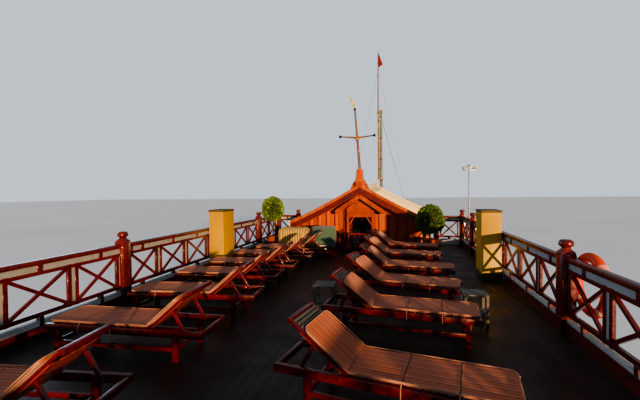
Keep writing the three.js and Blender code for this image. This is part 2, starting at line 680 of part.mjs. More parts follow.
// Roof surface height at a share of the way from ridge to eave
function roofProfile([, ridge, eave, half], drop) {
  const height = (t) => ridge + (eave - ridge) * t - ROOF_SAG * 4 * t * (1 - t) - drop;
  return [0, 0.35, 0.7, 1].map((t) => [half * t, height(t)]);
}
function roofLoft(stations, dropTop, dropUnder, grow = 0) {
  return loft(stations.map((row) => {
    const [x, ridge, eave, half] = row;
    const shape = [x, ridge, eave, half + grow];
    const top = roofProfile(shape, dropTop);
    const under = roofProfile(shape, dropUnder);
    const right = [...under].map(([y, z]) => [x, y, z]);
    const left = top.slice(1).map(([y, z]) => [x, -y, z]);
    return [
      ...under.slice(1).reverse().map(([y, z]) => [x, -y, z]), ...right,
      ...[...top].reverse().map(([y, z]) => [x, y, z]), ...left,
    ];
  }));
}
function roofAt(x) {
  let k = 0;
  while (k + 2 < ROOF_STATIONS.length && ROOF_STATIONS[k + 1][0] < x) {
    k += 1;
  }
  const [from, to] = [ROOF_STATIONS[k], ROOF_STATIONS[k + 1]];
  const t = (x - from[0]) / (to[0] - from[0]);
  return [x, ...[1, 2, 3].map((c) => from[c] + t * (to[c] - from[c]))];
}
const roofCutter = roofLoft(ROOF_STATIONS, -2500, ROOF_THICK + GAP);

// Walls under the gabled roof
const WINDOW_BAND = [4750, 5750];
// Companion doorway, wider below the sun deck where the stair passes through
const DOORWAY = { half: 290, top: 6800, stairHalf: 385, foot: 4700 };
const gableOutline = [
  [-CABIN.half, UPPER_DECK + GAP], [CABIN.half, UPPER_DECK + GAP], [CABIN.half, CABIN_TOP],
  [HOUSE.half, CABIN_TOP], [HOUSE.half, 8200], [-HOUSE.half, 8200], [-HOUSE.half, CABIN_TOP],
  [-CABIN.half, CABIN_TOP],
];
const wayThrough = (half, z0, z1) => box(HOUSE.x0 - 50, HOUSE.x0 + 200, -half, half, z0, z1);
place("gable_wall", cut(plateYZ(gableOutline, HOUSE.x0, HOUSE.x0 + WALL), [
  roofCutter,
  wayThrough(DOORWAY.half, SUN_DECK - 10, DOORWAY.top),
  wayThrough(DOORWAY.stairHalf, DOORWAY.foot, SUN_DECK),
]), colours.house, 0.35);

for (const side of [1, -1]) {
  const y0 = side > 0 ? HOUSE.half - WALL : -HOUSE.half;
  const wall = box(HOUSE.x0 + WALL + GAP, HOUSE.x1, y0, y0 + WALL, UPPER_DECK + GAP, 7500);
  const windows = windowRow(3000, 1020, 5, 820, ...WINDOW_BAND, side * HOUSE.half);
  place(`wheelhouse_side_${mirrorName(side)}`, cut(wall, [roofCutter, ...windows]), colours.house, 0.4);
}
const HOUSE_IN = HOUSE.half - WALL - GAP;
const CONSOLE_X = 7000;
const HELM_Z = 4650;
place("wheelhouse_front", join([
  cut(box(HOUSE.x1 - WALL, HOUSE.x1, -HOUSE_IN, HOUSE_IN, UPPER_DECK + GAP, 8200), [
    roofCutter,
    ...[-1250, 0, 1250].map((y) => box(HOUSE.x1 - 200, HOUSE.x1 + 100, y - 500, y + 500, ...WINDOW_BAND)),
  ]),
  box(CONSOLE_X, HOUSE.x1 - WALL + 5, -480, 480, UPPER_DECK + GAP, WINDOW_BAND[0] - 20),
]), colours.house, 0.4);

// Ship's wheel on the console
function makeHelm() {
  const back = CONSOLE_X - GAP;
  const x = back - 110;
  const ring = new THREE.TorusGeometry(300, 22, 5, 14);
  ring.rotateY(Math.PI / 2);
  ring.translate(x, 0, HELM_Z);
  const spokes = [0, 1, 2, 3].map((n) => {
    const angle = n * Math.PI / 4;
    const [y, z] = [400 * Math.cos(angle), 400 * Math.sin(angle)];
    return rod([x, -y, HELM_Z - z], [x, y, HELM_Z + z], 14, 14, 5);
  });
  return join([rod([back, 0, HELM_Z], [back - 150, 0, HELM_Z], 55, 50, 8), solid(ring), ...spokes]);
}
place("helm", makeHelm(), colours.darkWood, 0.35);

// Roof with ridge beam, barge boards at both gables and an upturned ridge end
function bargeBoards(x0, x1) {
  return roofLoft([roofAt(x0), [x1, ...roofAt(x1).slice(1)]], -25, 230, 40);
}
function roofRidge(grow) {
  return join(ROOF_STATIONS.slice(1).map(([x, z], n) => bar(
    [ROOF_STATIONS[n][0], 0, ROOF_STATIONS[n][1] + 30], [x, 0, z + 30], 150 + 2 * grow, 110 + 2 * grow)));
}
function makeRoof() {
  const first = ROOF_STATIONS[0][0];
  const end = ROOF_STATIONS.at(-1)[0];
  const horn = plateXZ([
    [end - 500, 7960], [end + 40, 7960], [end + 130, 8120], [end + 110, 8290], [end + 30, 8310],
    [end - 20, 8180], [end - 200, 8080], [end - 500, 8050],
  ], -50, 50);
  return join([
    roofLoft(ROOF_STATIONS, 0, ROOF_THICK), roofRidge(0), horn,
    bargeBoards(first, first + 55), bargeBoards(end - 55, end - 1),
  ]);
}
place("house_roof", makeRoof(), colours.cream, 0.7);

// Small gabled porch over the companion doorway
const PORCH = {
  x0: 620, postX: 880, postY: 405, half: 760, ridge: 7480, eave: 6980, thick: 60,
};
function makePorch() {
  const back = HOUSE.x0 - GAP;
  const { x0, postX, postY, half, ridge, eave, thick } = PORCH;
  const roof = plateYZ([
    [-half, eave - thick], [0, ridge - thick], [half, eave - thick],
    [half, eave], [0, ridge], [-half, eave],
  ], x0, back);
  const posts = [postY, -postY].map((y) => box(
    postX - 38, postX + 38, y - 38, y + 38, SUN_DECK + GAP, 7080));
  const lintel = plateYZ([
    [-postY, DOORWAY.top], [postY, DOORWAY.top], [postY, 7120], [0, 7440], [-postY, 7120],
  ], postX - 20, postX + 20);
  return join([roof, ...posts, lintel]);
}
place("companion_porch", makePorch(), colours.redWood, 0.4);

// Companion stair from the hatch down to the upper deck
const STAIR = { half: 355, top: SUN_DECK - 200, x0: HATCH.x0 + GAP, x1: 650, going: 235, steps: 8 };
function makeStair() {
  const rise = (STAIR.top - UPPER_DECK) / (STAIR.steps + 1);
  const treads = Array.from({ length: STAIR.steps + 1 }, (_, n) => {
    const x0 = n === 0 ? STAIR.x0 : STAIR.x1 + (n - 1) * STAIR.going;
    const x1 = STAIR.x1 + n * STAIR.going;
    return box(x0, x1 + 25, -STAIR.half, STAIR.half, STAIR.top - n * rise - 35, STAIR.top - n * rise);
  });
  const foot = STAIR.x1 + (STAIR.steps + 1) * STAIR.going;
  const stringers = [1, -1].map((side) => {
    const [y0, y1] = spanY(side, STAIR.half - 45, STAIR.half);
    return plateXZ([
      [STAIR.x0, STAIR.top - 200], [STAIR.x0, STAIR.top], [STAIR.x1 + 25, STAIR.top],
      [foot, UPPER_DECK + 60], [foot, UPPER_DECK + GAP], [foot - 330, UPPER_DECK + GAP],
      [STAIR.x1 - 60, STAIR.top - 260],
    ], y0, y1);
  });
  return join([...treads, ...stringers]);
}
place("companion_stair", makeStair(), colours.darkWood, 0.4);

// Low fence on two sides of the hatch
const FENCE = { x: 190, y0: -480, y1: 560, top: 570, post: 40 };
function makeFence() {
  const base = SUN_DECK + GAP;
  const { x, y0, y1, post } = FENCE;
  const top = SUN_DECK + FENCE.top;
  const end = HOUSE.x0 - post - GAP;
  const posts = [[x, y0], [x, y1], [end, y1]].map(([px, py]) => box(
    px - post, px + post, py - post, py + post, base, top + 40));
  const rails = [top - 30, base + 80].flatMap((z) => [
    bar([x, y0, z], [x, y1, z], 60, 50),
    bar([x, y1, z], [end, y1, z], 60, 50),
  ]);
  const balusters = [
    ...[-340, -200, -60, 80, 220, 360].map((y) => [x, y]),
    ...[370, 550, 730, 880].map((px) => [px, y1]),
  ].map(([px, py]) => box(px - 16, px + 16, py - 16, py + 16, base + 80, top - 30));
  return join([...posts, ...rails, ...balusters]);
}
place("companion_fence", makeFence(), colours.redWood, 0.4);

// Pedestal and short mast on the aft end of the ridge, with a gull wing yard and a leaf vane
const SIGNAL = { x: 1100, y: 30, top: 8370, lean: 150, poleTop: 10350, yard: 9400, reach: 560 };
function pedestalSolid() {
  const steps = [[7450, 360], [7860, 235], [8040, 122], [SIGNAL.top, 92]];
  return join(steps.slice(1).map(([z1, half1], n) => {
    const [z0, half0] = steps[n];
    const geometry = new THREE.CylinderGeometry(half1 * Math.SQRT2, half0 * Math.SQRT2, z1 - z0, 4);
    geometry.rotateY(Math.PI / 4);
    geometry.rotateX(Math.PI / 2);
    geometry.translate(SIGNAL.x, SIGNAL.y, (z0 + z1) / 2);
    return solid(geometry);
  }));
}
function signalMast() {
  const lean = SIGNAL.lean / (SIGNAL.poleTop - SIGNAL.top);
  const at = (z) => [SIGNAL.x, SIGNAL.y + lean * (z - SIGNAL.top), z];
  const hub = at(SIGNAL.yard);
  const tips = [1, -1].map((side) => [SIGNAL.x, hub[1] + side * SIGNAL.reach, SIGNAL.yard + 60]);
  const [, topY, topZ] = at(SIGNAL.poleTop);
  const vane = plateYZ([
    [topY - 12, topZ], [topY + 25, topZ], [topY + 110, topZ + 190], [topY + 230, topZ + 470],
    [topY + 120, topZ + 390], [topY + 20, topZ + 230], [topY - 50, topZ + 90],
  ], SIGNAL.x - 8, SIGNAL.x + 8);
  return join([
    cut(pedestalSolid(), [roofLoft(ROOF_STATIONS, -GAP, 4000), roofRidge(GAP)]),
    rod(at(SIGNAL.top - 60), at(SIGNAL.poleTop), 48, 30, 12),
    rod(at(SIGNAL.poleTop - 40), at(SIGNAL.poleTop + 30), 52, 30, 10),
    rod(at(SIGNAL.yard - 70), at(SIGNAL.yard + 50), 75, 65, 10),
    ...tips.map((tip) => rod(hub, tip, 34, 20, 8)),
    ...tips.map((tip) => rod([tip[0], tip[1] - 40, tip[2]], [tip[0], tip[1] + 40, tip[2]], 42, 42, 8)),
    vane,
  ]);
}
place("signal_mast", signalMast(), colours.house, 0.4);

// Foremast with its trestle and cap, and the topmast beside it
const TRESTLE_Z = 8500;
const CAP_Z = 12450;
function makeForemast() {
  const { x, y, r, top } = FOREMAST;
  const bed = box(x - 130, x + 130, y - 110, TOPMAST.y + 90, TRESTLE_Z - 110, TRESTLE_Z);
  const bore = TOPMAST.r + GAP;
  const cap = cut(box(x - 110, x + 110, y - 110, TOPMAST.y + 90, CAP_Z, CAP_Z + 120), [
    rod([x, TOPMAST.y, CAP_Z - 50], [x, TOPMAST.y, CAP_Z + 200], bore, bore, 12),
  ]);
  return join([
    rod([x, y, FORE_DECK + GAP], [x, y, top], r + 30, r - 15, 16),
    box(x - 190, x + 190, y - 190, y + 190, FORE_DECK + GAP, FORE_DECK + 160),
    bed, cap,
  ]);
}
place("foremast", makeForemast(), colours.mast, 0.6);
function makeTopmast() {
  const { x, y, r, top } = TOPMAST;
  return join([
    rod([x, y, TRESTLE_Z + GAP], [x, y, CAP_Z + 300], r, r, 12),
    rod([x, y, CAP_Z + 300], [x, y, 15150], r, 36, 12),
    rod([x, y, 15100], [x, y, 15200], 60, 50, 10),
    rod([x, y, 15190], [x, y, top], 18, 14, 8),
  ]);
}
place("topmast", makeTopmast(), colours.mast, 0.6);

// Main stays, each ending 0.3 mm short of the mast and of its deck fitting
const STAY_TOP = 12250;
function stay(foot, fitting, aft) {
  const { x, y, r } = FOREMAST;
  const mast = rod([x, y, FORE_DECK + GAP], [x, y, FOREMAST.top], r + 30 + GAP, r - 15 + GAP, 16);
  return cut(rod([x - aft, y, STAY_TOP], foot, STAY_R, STAY_R, 8), [mast, fitting]);
}
const forestay = stay([STEM_EYE[0], 0, STEM_EYE[2] + 60], stemEye(GAP), 0);
place("forestay", forestay, colours.steel, 0.4, 0.8);
for (const [x, side] of CHAINPLATES) {
  const { rail, half } = hullAt(x);
  const y = side * half;
  const reach = CHAINPLATE_R + GAP;
  const plate = rod([x, y, rail - 200], [x, y, rail + 130 + GAP], reach, reach, 12);
  place(`shroud_${mirrorName(side)}`, stay([x, y, rail + 60], plate, 60), colours.steel, 0.4, 0.8);
}

// Limp flag on the topmast staff
place("flag", plateYZ([
  [TOPMAST.y - 14.7, 16170], [TOPMAST.y - 90, 16090], [TOPMAST.y - 290, 15420],
  [TOPMAST.y - 240, 15290], [TOPMAST.y - 90, 15480], [TOPMAST.y - 16.7, 15640],
], TOPMAST.x - 15, TOPMAST.x + 15), colours.red, 0.8);

// Lamp post on the starboard handrail
function makeLampPost() {
  const x = 940;
  const y = -RAIL_Y;
  const foot = SUN_DECK + HANDRAIL_TOP + GAP;
  const top = 8360;
  return join([
    rod([x, y, foot], [x, y, foot + 60], 45, 40, 10),
    rod([x, y, foot + 30], [x, y, top], 24, 18, 10),
    bar([x, y - 170, top - 110], [x, y + 170, top - 110], 60, 26),
    bar([x, y - 120, top - 20], [x, y + 120, top - 20], 60, 26),
    rod([x, y, top - 10], [x, y, top + 60], 55, 30, 10),
  ]);
}
place("lamp_post", makeLampPost(), colours.steel, 0.4, 0.6);

// Lifebuoy hung outboard of the starboard railing
function makeLifebuoy() {
  const thick = 58;
  const ring = new THREE.TorusGeometry(322, thick, 8, 20);
  ring.rotateX(Math.PI / 2);
  ring.translate(-5750, -RAIL_Y - NEWEL_HALF - thick - GAP, SUN_DECK + 690);
  return solid(ring);
}
place("lifebuoy", makeLifebuoy(), colours.orange, 0.5);

// Potted shrubs: side, y, ball radius across, ball radius up, ball centre height
const SHRUBS = [[1, 2750, 380, 420, 1290], [-1, -2105, 440, 465, 985]];
const POT = [[0, GAP], [150, GAP], [215, 380], [235, 380], [235, 430], [0, 430]];
for (const [side, y, across, high, centre] of SHRUBS) {
  const x = 230;
  const pot = turned(POT, x, y, 12);
  const ball = new THREE.IcosahedronGeometry(1, 2);
  ball.scale(across, across, high);
  ball.translate(x, y, centre);
  const trunk = rod([x, y, 400], [x, y, centre], 25, 20, 6);
  const shrub = place(
    `potted_shrub_${mirrorName(side)}`, join([pot, trunk, solid(ball)]), colours.leaf, 0.9);
  shrub.position.z = SUN_DECK;
}

// Covered rattan chest and round table by the house
place("rattan_chest", plateYZ([
  [1380, SUN_DECK + GAP], [2260, SUN_DECK + GAP], [2280, SUN_DECK + 700], [2200, SUN_DECK + 800],
  [1440, SUN_DECK + 800], [1360, SUN_DECK + 700],
], -760, -160), colours.straw, 0.9);
const COVER = [[0, GAP], [330, GAP], [375, 560], [385, 740], [360, 800], [0, 810]];
const roundTable = place("covered_table", turned(COVER, -380, 940, 20), colours.teal, 0.8);
roundTable.position.z = SUN_DECK;

// Small slatted side tables
for (const [side, x, y] of [[1, -5230, -130], [-1, -5300, -2250]]) {
  const top = 420;
  const half = 160;
  const inset = half - 20;
  const legs = [[-1, -1], [1, -1], [1, 1], [-1, 1]].map(([a, b]) => box(
    a * inset - 18, a * inset + 18, b * inset - 18, b * inset + 18, GAP, top - 10));
  const shelf = box(-half + 10, half - 10, -half + 10, half - 10, 150, 172);
  const board = box(-half, half, -half, half, top - 25, top);
  const table = place(
    `side_table_${mirrorName(side)}`, join([board, shelf, ...legs]), colours.steel, 0.6);
  table.position.set(x, y, SUN_DECK);
}

// Windlass on the foredeck
function makeWindlass() {
  const x = 13000;
  const bed = FORE_DECK + GAP;
  return join([
    box(x - 260, x + 260, -520, 520, bed, bed + 90),
    ...[400, -400].map((y) => plateXZ([
      [x - 200, bed + 80], [x + 200, bed + 80], [x + 90, bed + 560], [x - 90, bed + 560],
    ], y - 45, y + 45)),
    rod([x, -640, bed + 400], [x, 640, bed + 400], 70, 70, 8),
    rod([x, -300, bed + 400], [x, 300, bed + 400], 150, 150, 12),
    ...[1, -1].map((side) => rod([x, side * 500, bed + 400], [x, side * 620, bed + 400], 130, 110, 10)),
  ]);
}
place("windlass", makeWindlass(), colours.darkWood, 0.5);

// Sun lounger: local origin at the knee line on the deck, local +X to the foot
const LOUNGER = {
  seat: 1290, back: 650, tail: 650, rear: 335, frame: 580, pad: 510, top: 345, padThick: 60,
};
// Slope of the raised backs on each side, in degrees
const RECLINE = { port: 41, starboard: 37 };
function makeLounger(recline) {
  const { seat, back, tail, rear, frame, pad, top, padThick } = LOUNGER;
  const half = frame / 2;
  const slope = recline * Math.PI / 180;
  const reach = [-back * Math.cos(slope), back * Math.sin(slope)];
  const sides = [1, -1].map((side) => {
    const y0 = side * (half - 22) - 22;
    return plateXZ([
      [-tail, top - 80], [-rear - 32, top - 80], [-rear - 32, GAP], [-rear + 32, GAP], [-rear + 32, 110],
      [seat - 185, 110], [seat - 185, GAP], [seat - 120, GAP], [seat - 120, top - 80],
      [seat, top - 80], [seat, top], [-tail, top],
    ], y0, y0 + 44).subtract(box(-rear + 32, seat - 185, y0 - 10, y0 + 54, 165, top - 80));
  });
  const deep = pad / 2 + 12;
  const pads = plateXZ([
    [seat - 15, top - 60], [seat - 15, top + padThick], [20, top + padThick],
    [reach[0] + 45, top + reach[1] + 46], [reach[0] - 12, top + reach[1] - 20], [0, top - 60],
  ], -deep, deep);
  const ties = [seat - 152, -rear].map((x) => box(x - 22, x + 22, -half + 40, half - 40, 115, 160));
  const end = box(-tail, -tail + 40, -half + 40, half - 40, top - 75, top - 10);
  return join([...sides, pads, ...ties, end]);
}
const loungerShapes = {
  port: geometryOf(makeLounger(RECLINE.port)),
  starboard: geometryOf(makeLounger(RECLINE.starboard)),
};
const loungerCount = { port: 0, starboard: 0 };
for (const [side, x, y, turn] of LOUNGERS) {
  const name = mirrorName(side);
  loungerCount[name] += 1;
  const lounger = place(
    `lounger_${name}_${loungerCount[name]}`, loungerShapes[name], colours.pad, 0.8);
  lounger.position.set(x, y, SUN_DECK);
  lounger.rotation.z = side * (90 + turn) * Math.PI / 180;
}

export default pieces;
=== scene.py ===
"""Looks of a wooden sightseeing junk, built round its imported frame.

Metres, +X to the bow, +Y to port, +Z up, with z = 0 on the waterline.
"""

import functools
import json
import math
import random

import bpy
from mathutils import Matrix, Vector, noise
from mathutils.bvhtree import BVHTree

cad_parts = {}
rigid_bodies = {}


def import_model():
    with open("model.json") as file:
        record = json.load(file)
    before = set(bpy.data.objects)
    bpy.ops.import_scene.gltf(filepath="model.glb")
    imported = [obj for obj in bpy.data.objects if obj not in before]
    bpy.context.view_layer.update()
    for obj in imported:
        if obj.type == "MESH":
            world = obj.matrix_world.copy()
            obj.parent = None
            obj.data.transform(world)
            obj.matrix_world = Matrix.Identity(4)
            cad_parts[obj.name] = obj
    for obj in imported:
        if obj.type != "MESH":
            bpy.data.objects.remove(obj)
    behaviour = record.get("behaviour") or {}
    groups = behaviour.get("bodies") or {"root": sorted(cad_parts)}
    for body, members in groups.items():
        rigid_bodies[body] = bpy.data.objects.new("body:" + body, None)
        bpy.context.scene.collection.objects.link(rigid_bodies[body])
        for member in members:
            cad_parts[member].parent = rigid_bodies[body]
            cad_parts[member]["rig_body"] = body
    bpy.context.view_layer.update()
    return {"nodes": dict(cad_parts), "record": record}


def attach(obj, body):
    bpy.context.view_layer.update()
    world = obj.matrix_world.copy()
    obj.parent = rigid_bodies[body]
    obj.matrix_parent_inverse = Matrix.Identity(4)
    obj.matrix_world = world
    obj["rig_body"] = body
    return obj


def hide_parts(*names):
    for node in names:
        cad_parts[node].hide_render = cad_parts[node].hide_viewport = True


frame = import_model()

bl_info = {
    "name": "Sightseeing Junk",
    "version": (1, 0, 0),
    "blender": (4, 5, 0),
    "location": "View3D > Sidebar > Junk",
    "description": "Dresses the frame of a wooden sightseeing junk",
    "category": "Object",
}

# Places of the ship, as its frame has them
MAIN_DECK, FORE_DECK, POOP_DECK, UPPER_DECK, SUN_DECK = 1.25, 2.0, 1.9, 3.6, 5.8
RAIL_Y, RAIL_AFT, RAIL_FORE, RAIL_INNER = 3.3, -14.05, 2.15, 2.46
NEWELS = [RAIL_AFT, -11.1, -8.28, -5.46, 0.35, RAIL_FORE]
TRUNK_X, TRUNK_Y = (-2.83, -2.29), (2.86, 3.24)
# Spans of the sun deck railing: from, to, panels; the last one runs outboard of the trunk
SPANS = [
    (-14.05, -11.1, 3), (-11.1, -8.28, 3), (-8.28, -5.46, 3), (-5.46, TRUNK_X[0], 3),
    (TRUNK_X[1], 0.35, 3), (0.35, 2.15, 2), (*TRUNK_X, 1),
]
# A railing, above its deck: lower rail, upper rail, foot of the lower block, head of the upper block
DECK_RAIL, VERANDA_RAIL = (0.225, 0.835, 0.09, 0.93), (0.03, 0.86, 0.0, 0.94)
HANDRAIL = SUN_DECK + 0.945
SIDES = (("port", 1), ("starboard", -1))
# Loungers: side, x and y of the knee line, turn in degrees
LOUNGERS = [
    (1, -8.38, 1.5, 7), (1, -6.92, 1.45, 3), (1, -5.6, 1.47, 7), (1, -4.4, 1.56, 5),
    (1, -3.42, 1.52, 4), (1, -2.3, 1.46, 5), (1, -1.25, 1.33, 9),
    (-1, -7.45, -0.87, 10), (-1, -5.78, -0.92, 6), (-1, -4.41, -0.92, 12),
    (-1, -3.19, -1.0, 6), (-1, -1.7, -0.92, 11), (-1, -0.35, -1.0, 12),
]
RECLINE = {"port": math.radians(41), "starboard": math.radians(37)}
# Clearance of what stands on a deck
LIFT = 0.0005


def linear(code):
    """An sRGB hex value as the linear colour that Blender works in."""
    parts = [int(code[n:n + 2], 16) / 255 for n in (1, 3, 5)]
    return tuple(c / 12.92 if c <= 0.04045 else ((c + 0.055) / 1.055) ** 2.4 for c in parts)


def colour(name, description, code):
    return bpy.props.FloatVectorProperty(
        name=name, description=description, subtype="COLOR", size=3, min=0, max=1, default=linear(code))


def length(name, description, value):
    return bpy.props.FloatProperty(
        name=name, description=description, default=value, min=0.001, subtype="DISTANCE", unit="LENGTH")


class JunkColours(bpy.types.PropertyGroup):
    house: colour("House varnish", "Varnished boards of the houses", "#d4680c")
    house_deep: colour("House varnish, deep", "Darkest boards of the houses", "#a03c08")
    rail: colour("Rail stain", "Railings, posts and newels", "#7d1d13")
    lounger: colour("Lounger frame", "Red varnish of the lounger frames", "#760205")
    pale: colour("Pale paint", "Boards in the railings and coamings", "#a6b0b4")
    trunk: colour("Trunk paint", "Vent trunks", "#cba31c")
    roof: colour("Roof paint", "House roof", "#fdf0bd")
    hull: colour("Hull oil", "Oiled planking of the hull", "#5a2c16")
    stripe: colour("Pad cloth", "Ground of the lounger pads", "#c4653f")


class JunkSizes(bpy.types.PropertyGroup):
    timber_edge: length("Timber edge", "Rounding of sawn timber edges", 0.004)
    pad_puff: length("Pad puff", "How far the lounger pads may swell", 0.016)
    plank: length("Deck plank", "Width of a deck plank", 0.115)
    batten: length("Roof batten", "Height of the battens on the roof", 0.025)


def sizes():
    return bpy.context.scene.junk_sizes


def stain(code):
    """A colour as it is, from an sRGB hex value, or from the panel by its name there."""
    if not isinstance(code, str):
        return code
    return linear(code) if code[0] == "#" else tuple(getattr(bpy.context.scene.junk_colours, code))


# ---------------------------------------------------------------- finishes

def sockets(tree, node, inputs):
    """Sets the inputs of a node, or links them where a socket is given."""
    for key, value in inputs.items():
        if isinstance(value, bpy.types.NodeSocket):
            tree.links.new(value, node.inputs[key])
        else:
            node.inputs[key].default_value = value


def add(tree, kind, inputs=None, out=0, **settings):
    """Adds one node and gives back one of its outputs; settings are the node's properties."""
    made = tree.nodes.new("ShaderNode" + kind)
    for key, value in settings.items():
        setattr(made, key, value)
    sockets(tree, made, inputs or {})
    return made.outputs[out]


def calc(tree, operation, *values):
    return add(tree, "Math", dict(enumerate(values)), operation=operation)


def ramp(tree, value, *stops):
    """Colours along a value, each stop a place and a colour."""
    made = add(tree, "ValToRGB", {0: value})
    elements = made.node.color_ramp.elements
    for n, (place, tint) in enumerate(stops):
        element = elements[n] if n < len(elements) else elements.new(place)
        element.position, element.color = place, (*stain(tint), 1)
    return made


def blend(tree, share, under, over):
    """A colour laid over a socket, as far as the share says."""
    return add(tree, "Mix", {0: share, 6: under, 7: (*stain(over), 1)}, 2, data_type="RGBA")


def axes(tree, space):
    """The three parts of the piece's own coordinates."""
    return add(tree, "SeparateXYZ", {0: add(tree, "TexCoord", out=space)}).node.outputs


def patches(tree, scale, detail=3.0, stretch=(1, 1, 1)):
    """Noise on the piece's own coordinates, scale in patches a metre."""
    place = add(tree, "Mapping", {"Vector": add(tree, "TexCoord", out="Object"), "Scale": stretch})
    return add(tree, "TexNoise", {"Vector": place, "Scale": scale, "Detail": detail})


def spread(tree, value, low, high):
    return add(tree, "MapRange", {0: value, 1: 0.3, 2: 0.7, 3: low, 4: high})


def relief(tree, height, depth, strength=0.6):
    return add(tree, "Bump", {"Height": height, "Distance": depth, "Strength": strength})


def boards(tree, shader, pale, deep, wide, across, rough, seam=0.006, groove=0.004, grain=(30, 30, 2.5), coat=0.0):
    """Boards side by side: each has its own tone, grain along it and a dark seam between it and the next."""
    wide, deep = wide or sizes().plank, stain(deep)
    source = add(tree, "TexCoord", out="UV" if across == "uv" else "Object")
    x, y, _ = add(tree, "SeparateXYZ", {0: source}).node.outputs
    count = calc(tree, "DIVIDE", calc(tree, "ADD", x, y) if across == "xy" else y, wide)
    edge = calc(tree, "ABSOLUTE", calc(tree, "SUBTRACT", calc(tree, "FRACT", count), 0.5))
    gap = add(tree, "MapRange", {0: edge, 1: 0.5 - seam / wide, 2: 0.5 - seam / wide / 4, 3: 0.0, 4: 1.0})
    tone = add(tree, "TexWhiteNoise", {"W": calc(tree, "FLOOR", count)}, noise_dimensions="1D")
    shift = add(tree, "CombineXYZ", {0: tone, 1: tone, 2: tone})
    lifted = add(tree, "VectorMath", {0: source, 1: shift}, operation="ADD")
    place = add(tree, "Mapping", {"Vector": lifted, "Scale": grain})
    fibre = add(tree, "TexNoise", {"Vector": place, "Scale": 1.0, "Detail": 5.0, "Distortion": 0.6})
    mixed = calc(tree, "MULTIPLY_ADD", tone, 0.45, calc(tree, "MULTIPLY", fibre, 0.55))
    wood = ramp(tree, mixed, (0.2, deep), (0.8, pale))
    height = calc(tree, "SUBTRACT", calc(tree, "MULTIPLY", fibre, 0.12), gap)
    sockets(tree, shader, {
        "Base Color": blend(tree, gap, wood, tuple(c * 0.25 for c in deep)),
        "Roughness": spread(tree, patches(tree, 3.0), rough, rough + 0.2), "IOR": 1.5,
        "Coat Weight": coat, "Coat Roughness": 0.12, "Normal": relief(tree, height, groove)})


def timber(tree, shader, pale, deep, rough, coat=0.3, stretch=(1, 1, 1)):
    """One squared or turned timber: stain that is thin in places, with a faint grain."""
    broad, fibre = patches(tree, 2.2, 2.0), patches(tree, 26.0, 5.0, stretch)
    mixed = calc(tree, "MULTIPLY_ADD", broad, 0.5, calc(tree, "MULTIPLY", fibre, 0.5))
    sockets(tree, shader, {
        "Base Color": ramp(tree, mixed, (0.32, deep), (0.68, pale)),
        "Roughness": spread(tree, fibre, rough, rough + 0.22), "IOR": 1.5,
        "Coat Weight": coat, "Coat Roughness": 0.1, "Normal": relief(tree, fibre, 0.0015, 0.4)})


def coated(tree, shader, tint, rough, metallic=0.0, mottle=0.12, scale=4.0, depth=0.001, coat=0.0):
    """Paint or bare metal: one colour that weather has mottled, with a slightly uneven skin."""
    cloud = patches(tree, scale, 6.0)
    worn = tuple(c * (1 - 2.2 * mottle) for c in stain(tint))
    sockets(tree, shader, {
        "Base Color": ramp(tree, cloud, (0.3, worn), (0.62, tint)),
        "Roughness": spread(tree, cloud, rough + 0.12, rough), "Metallic": metallic, "Coat Weight": coat,
        "Normal": relief(tree, patches(tree, scale * 12), depth, 0.35)})


def weave(tree, shader, pale, deep, pitch, rough, sheen):
    """Plain weave, its threads drawn at the given pitch."""
    pale, deep = stain(pale), stain(deep)
    askew = add(tree, "Mapping", {"Vector": add(tree, "TexCoord", out="Object"), "Rotation": (0.4, 0.3, 0.6)})
    check = add(tree, "TexBrick", {
        "Vector": askew, "Scale": 1.0, "Brick Width": pitch * 2, "Row Height": pitch,
        "Mortar Size": pitch * 0.14, "Mortar Smooth": 0.4, "Color1": (*pale, 1),
        "Color2": (*(0.8 * a + 0.2 * b for a, b in zip(pale, deep)), 1), "Mortar": (*deep, 1)})
    dirt = spread(tree, patches(tree, 5.0, 4.0), 0.0, 0.4)
    threads = calc(tree, "SUBTRACT", 1.0, check.node.outputs["Fac"])
    sockets(tree, shader, {
        "Base Color": blend(tree, dirt, check, deep), "Roughness": rough, "Sheen Weight": sheen,
        "Normal": relief(tree, threads, pitch * 0.2)})


def stripes(tree, shader):
    """Stripes along the pad that repeat every 85 mm, ribs of 6 mm across it, and dark lines at its seams: painted
    shade in the pinched seam valleys.
    """
    along, across, _ = axes(tree, "UV")
    share = calc(tree, "FRACT", calc(tree, "DIVIDE", across, 0.085))
    bands = ramp(tree, share, (0.0, "stripe"), (0.2, "#6c2416"), (0.3, "#a64a2c"), (0.44, "#e0a47e"),
                 (0.5, "stripe"), (0.66, "#6c2416"), (0.72, "stripe"), (0.88, "#a64a2c"))
    bands.node.color_ramp.interpolation = "CONSTANT"
    faded = blend(tree, spread(tree, patches(tree, 3.5), 0.0, 0.35), bands, "#c07a56")
    # Dark lines along the cross seams: painted shade where the cloth is pinched into a valley
    seams = [calc(tree, "COMPARE", along, seam, 0.005) for seam in Lounger.SEAMS[1:-1]]
    line = functools.reduce(functools.partial(calc, tree, "MAXIMUM"), seams)
    wave = calc(tree, "MULTIPLY", calc(tree, "DIVIDE", along, 0.006), math.pi * 2)
    sockets(tree, shader, {
        "Base Color": blend(tree, line, faded, "#3a0f08"), "Roughness": 0.85, "Sheen Weight": 0.25,
        "Sheen Roughness": 0.4, "Normal": relief(tree, calc(tree, "SINE", wave), 0.0012, 0.5)})


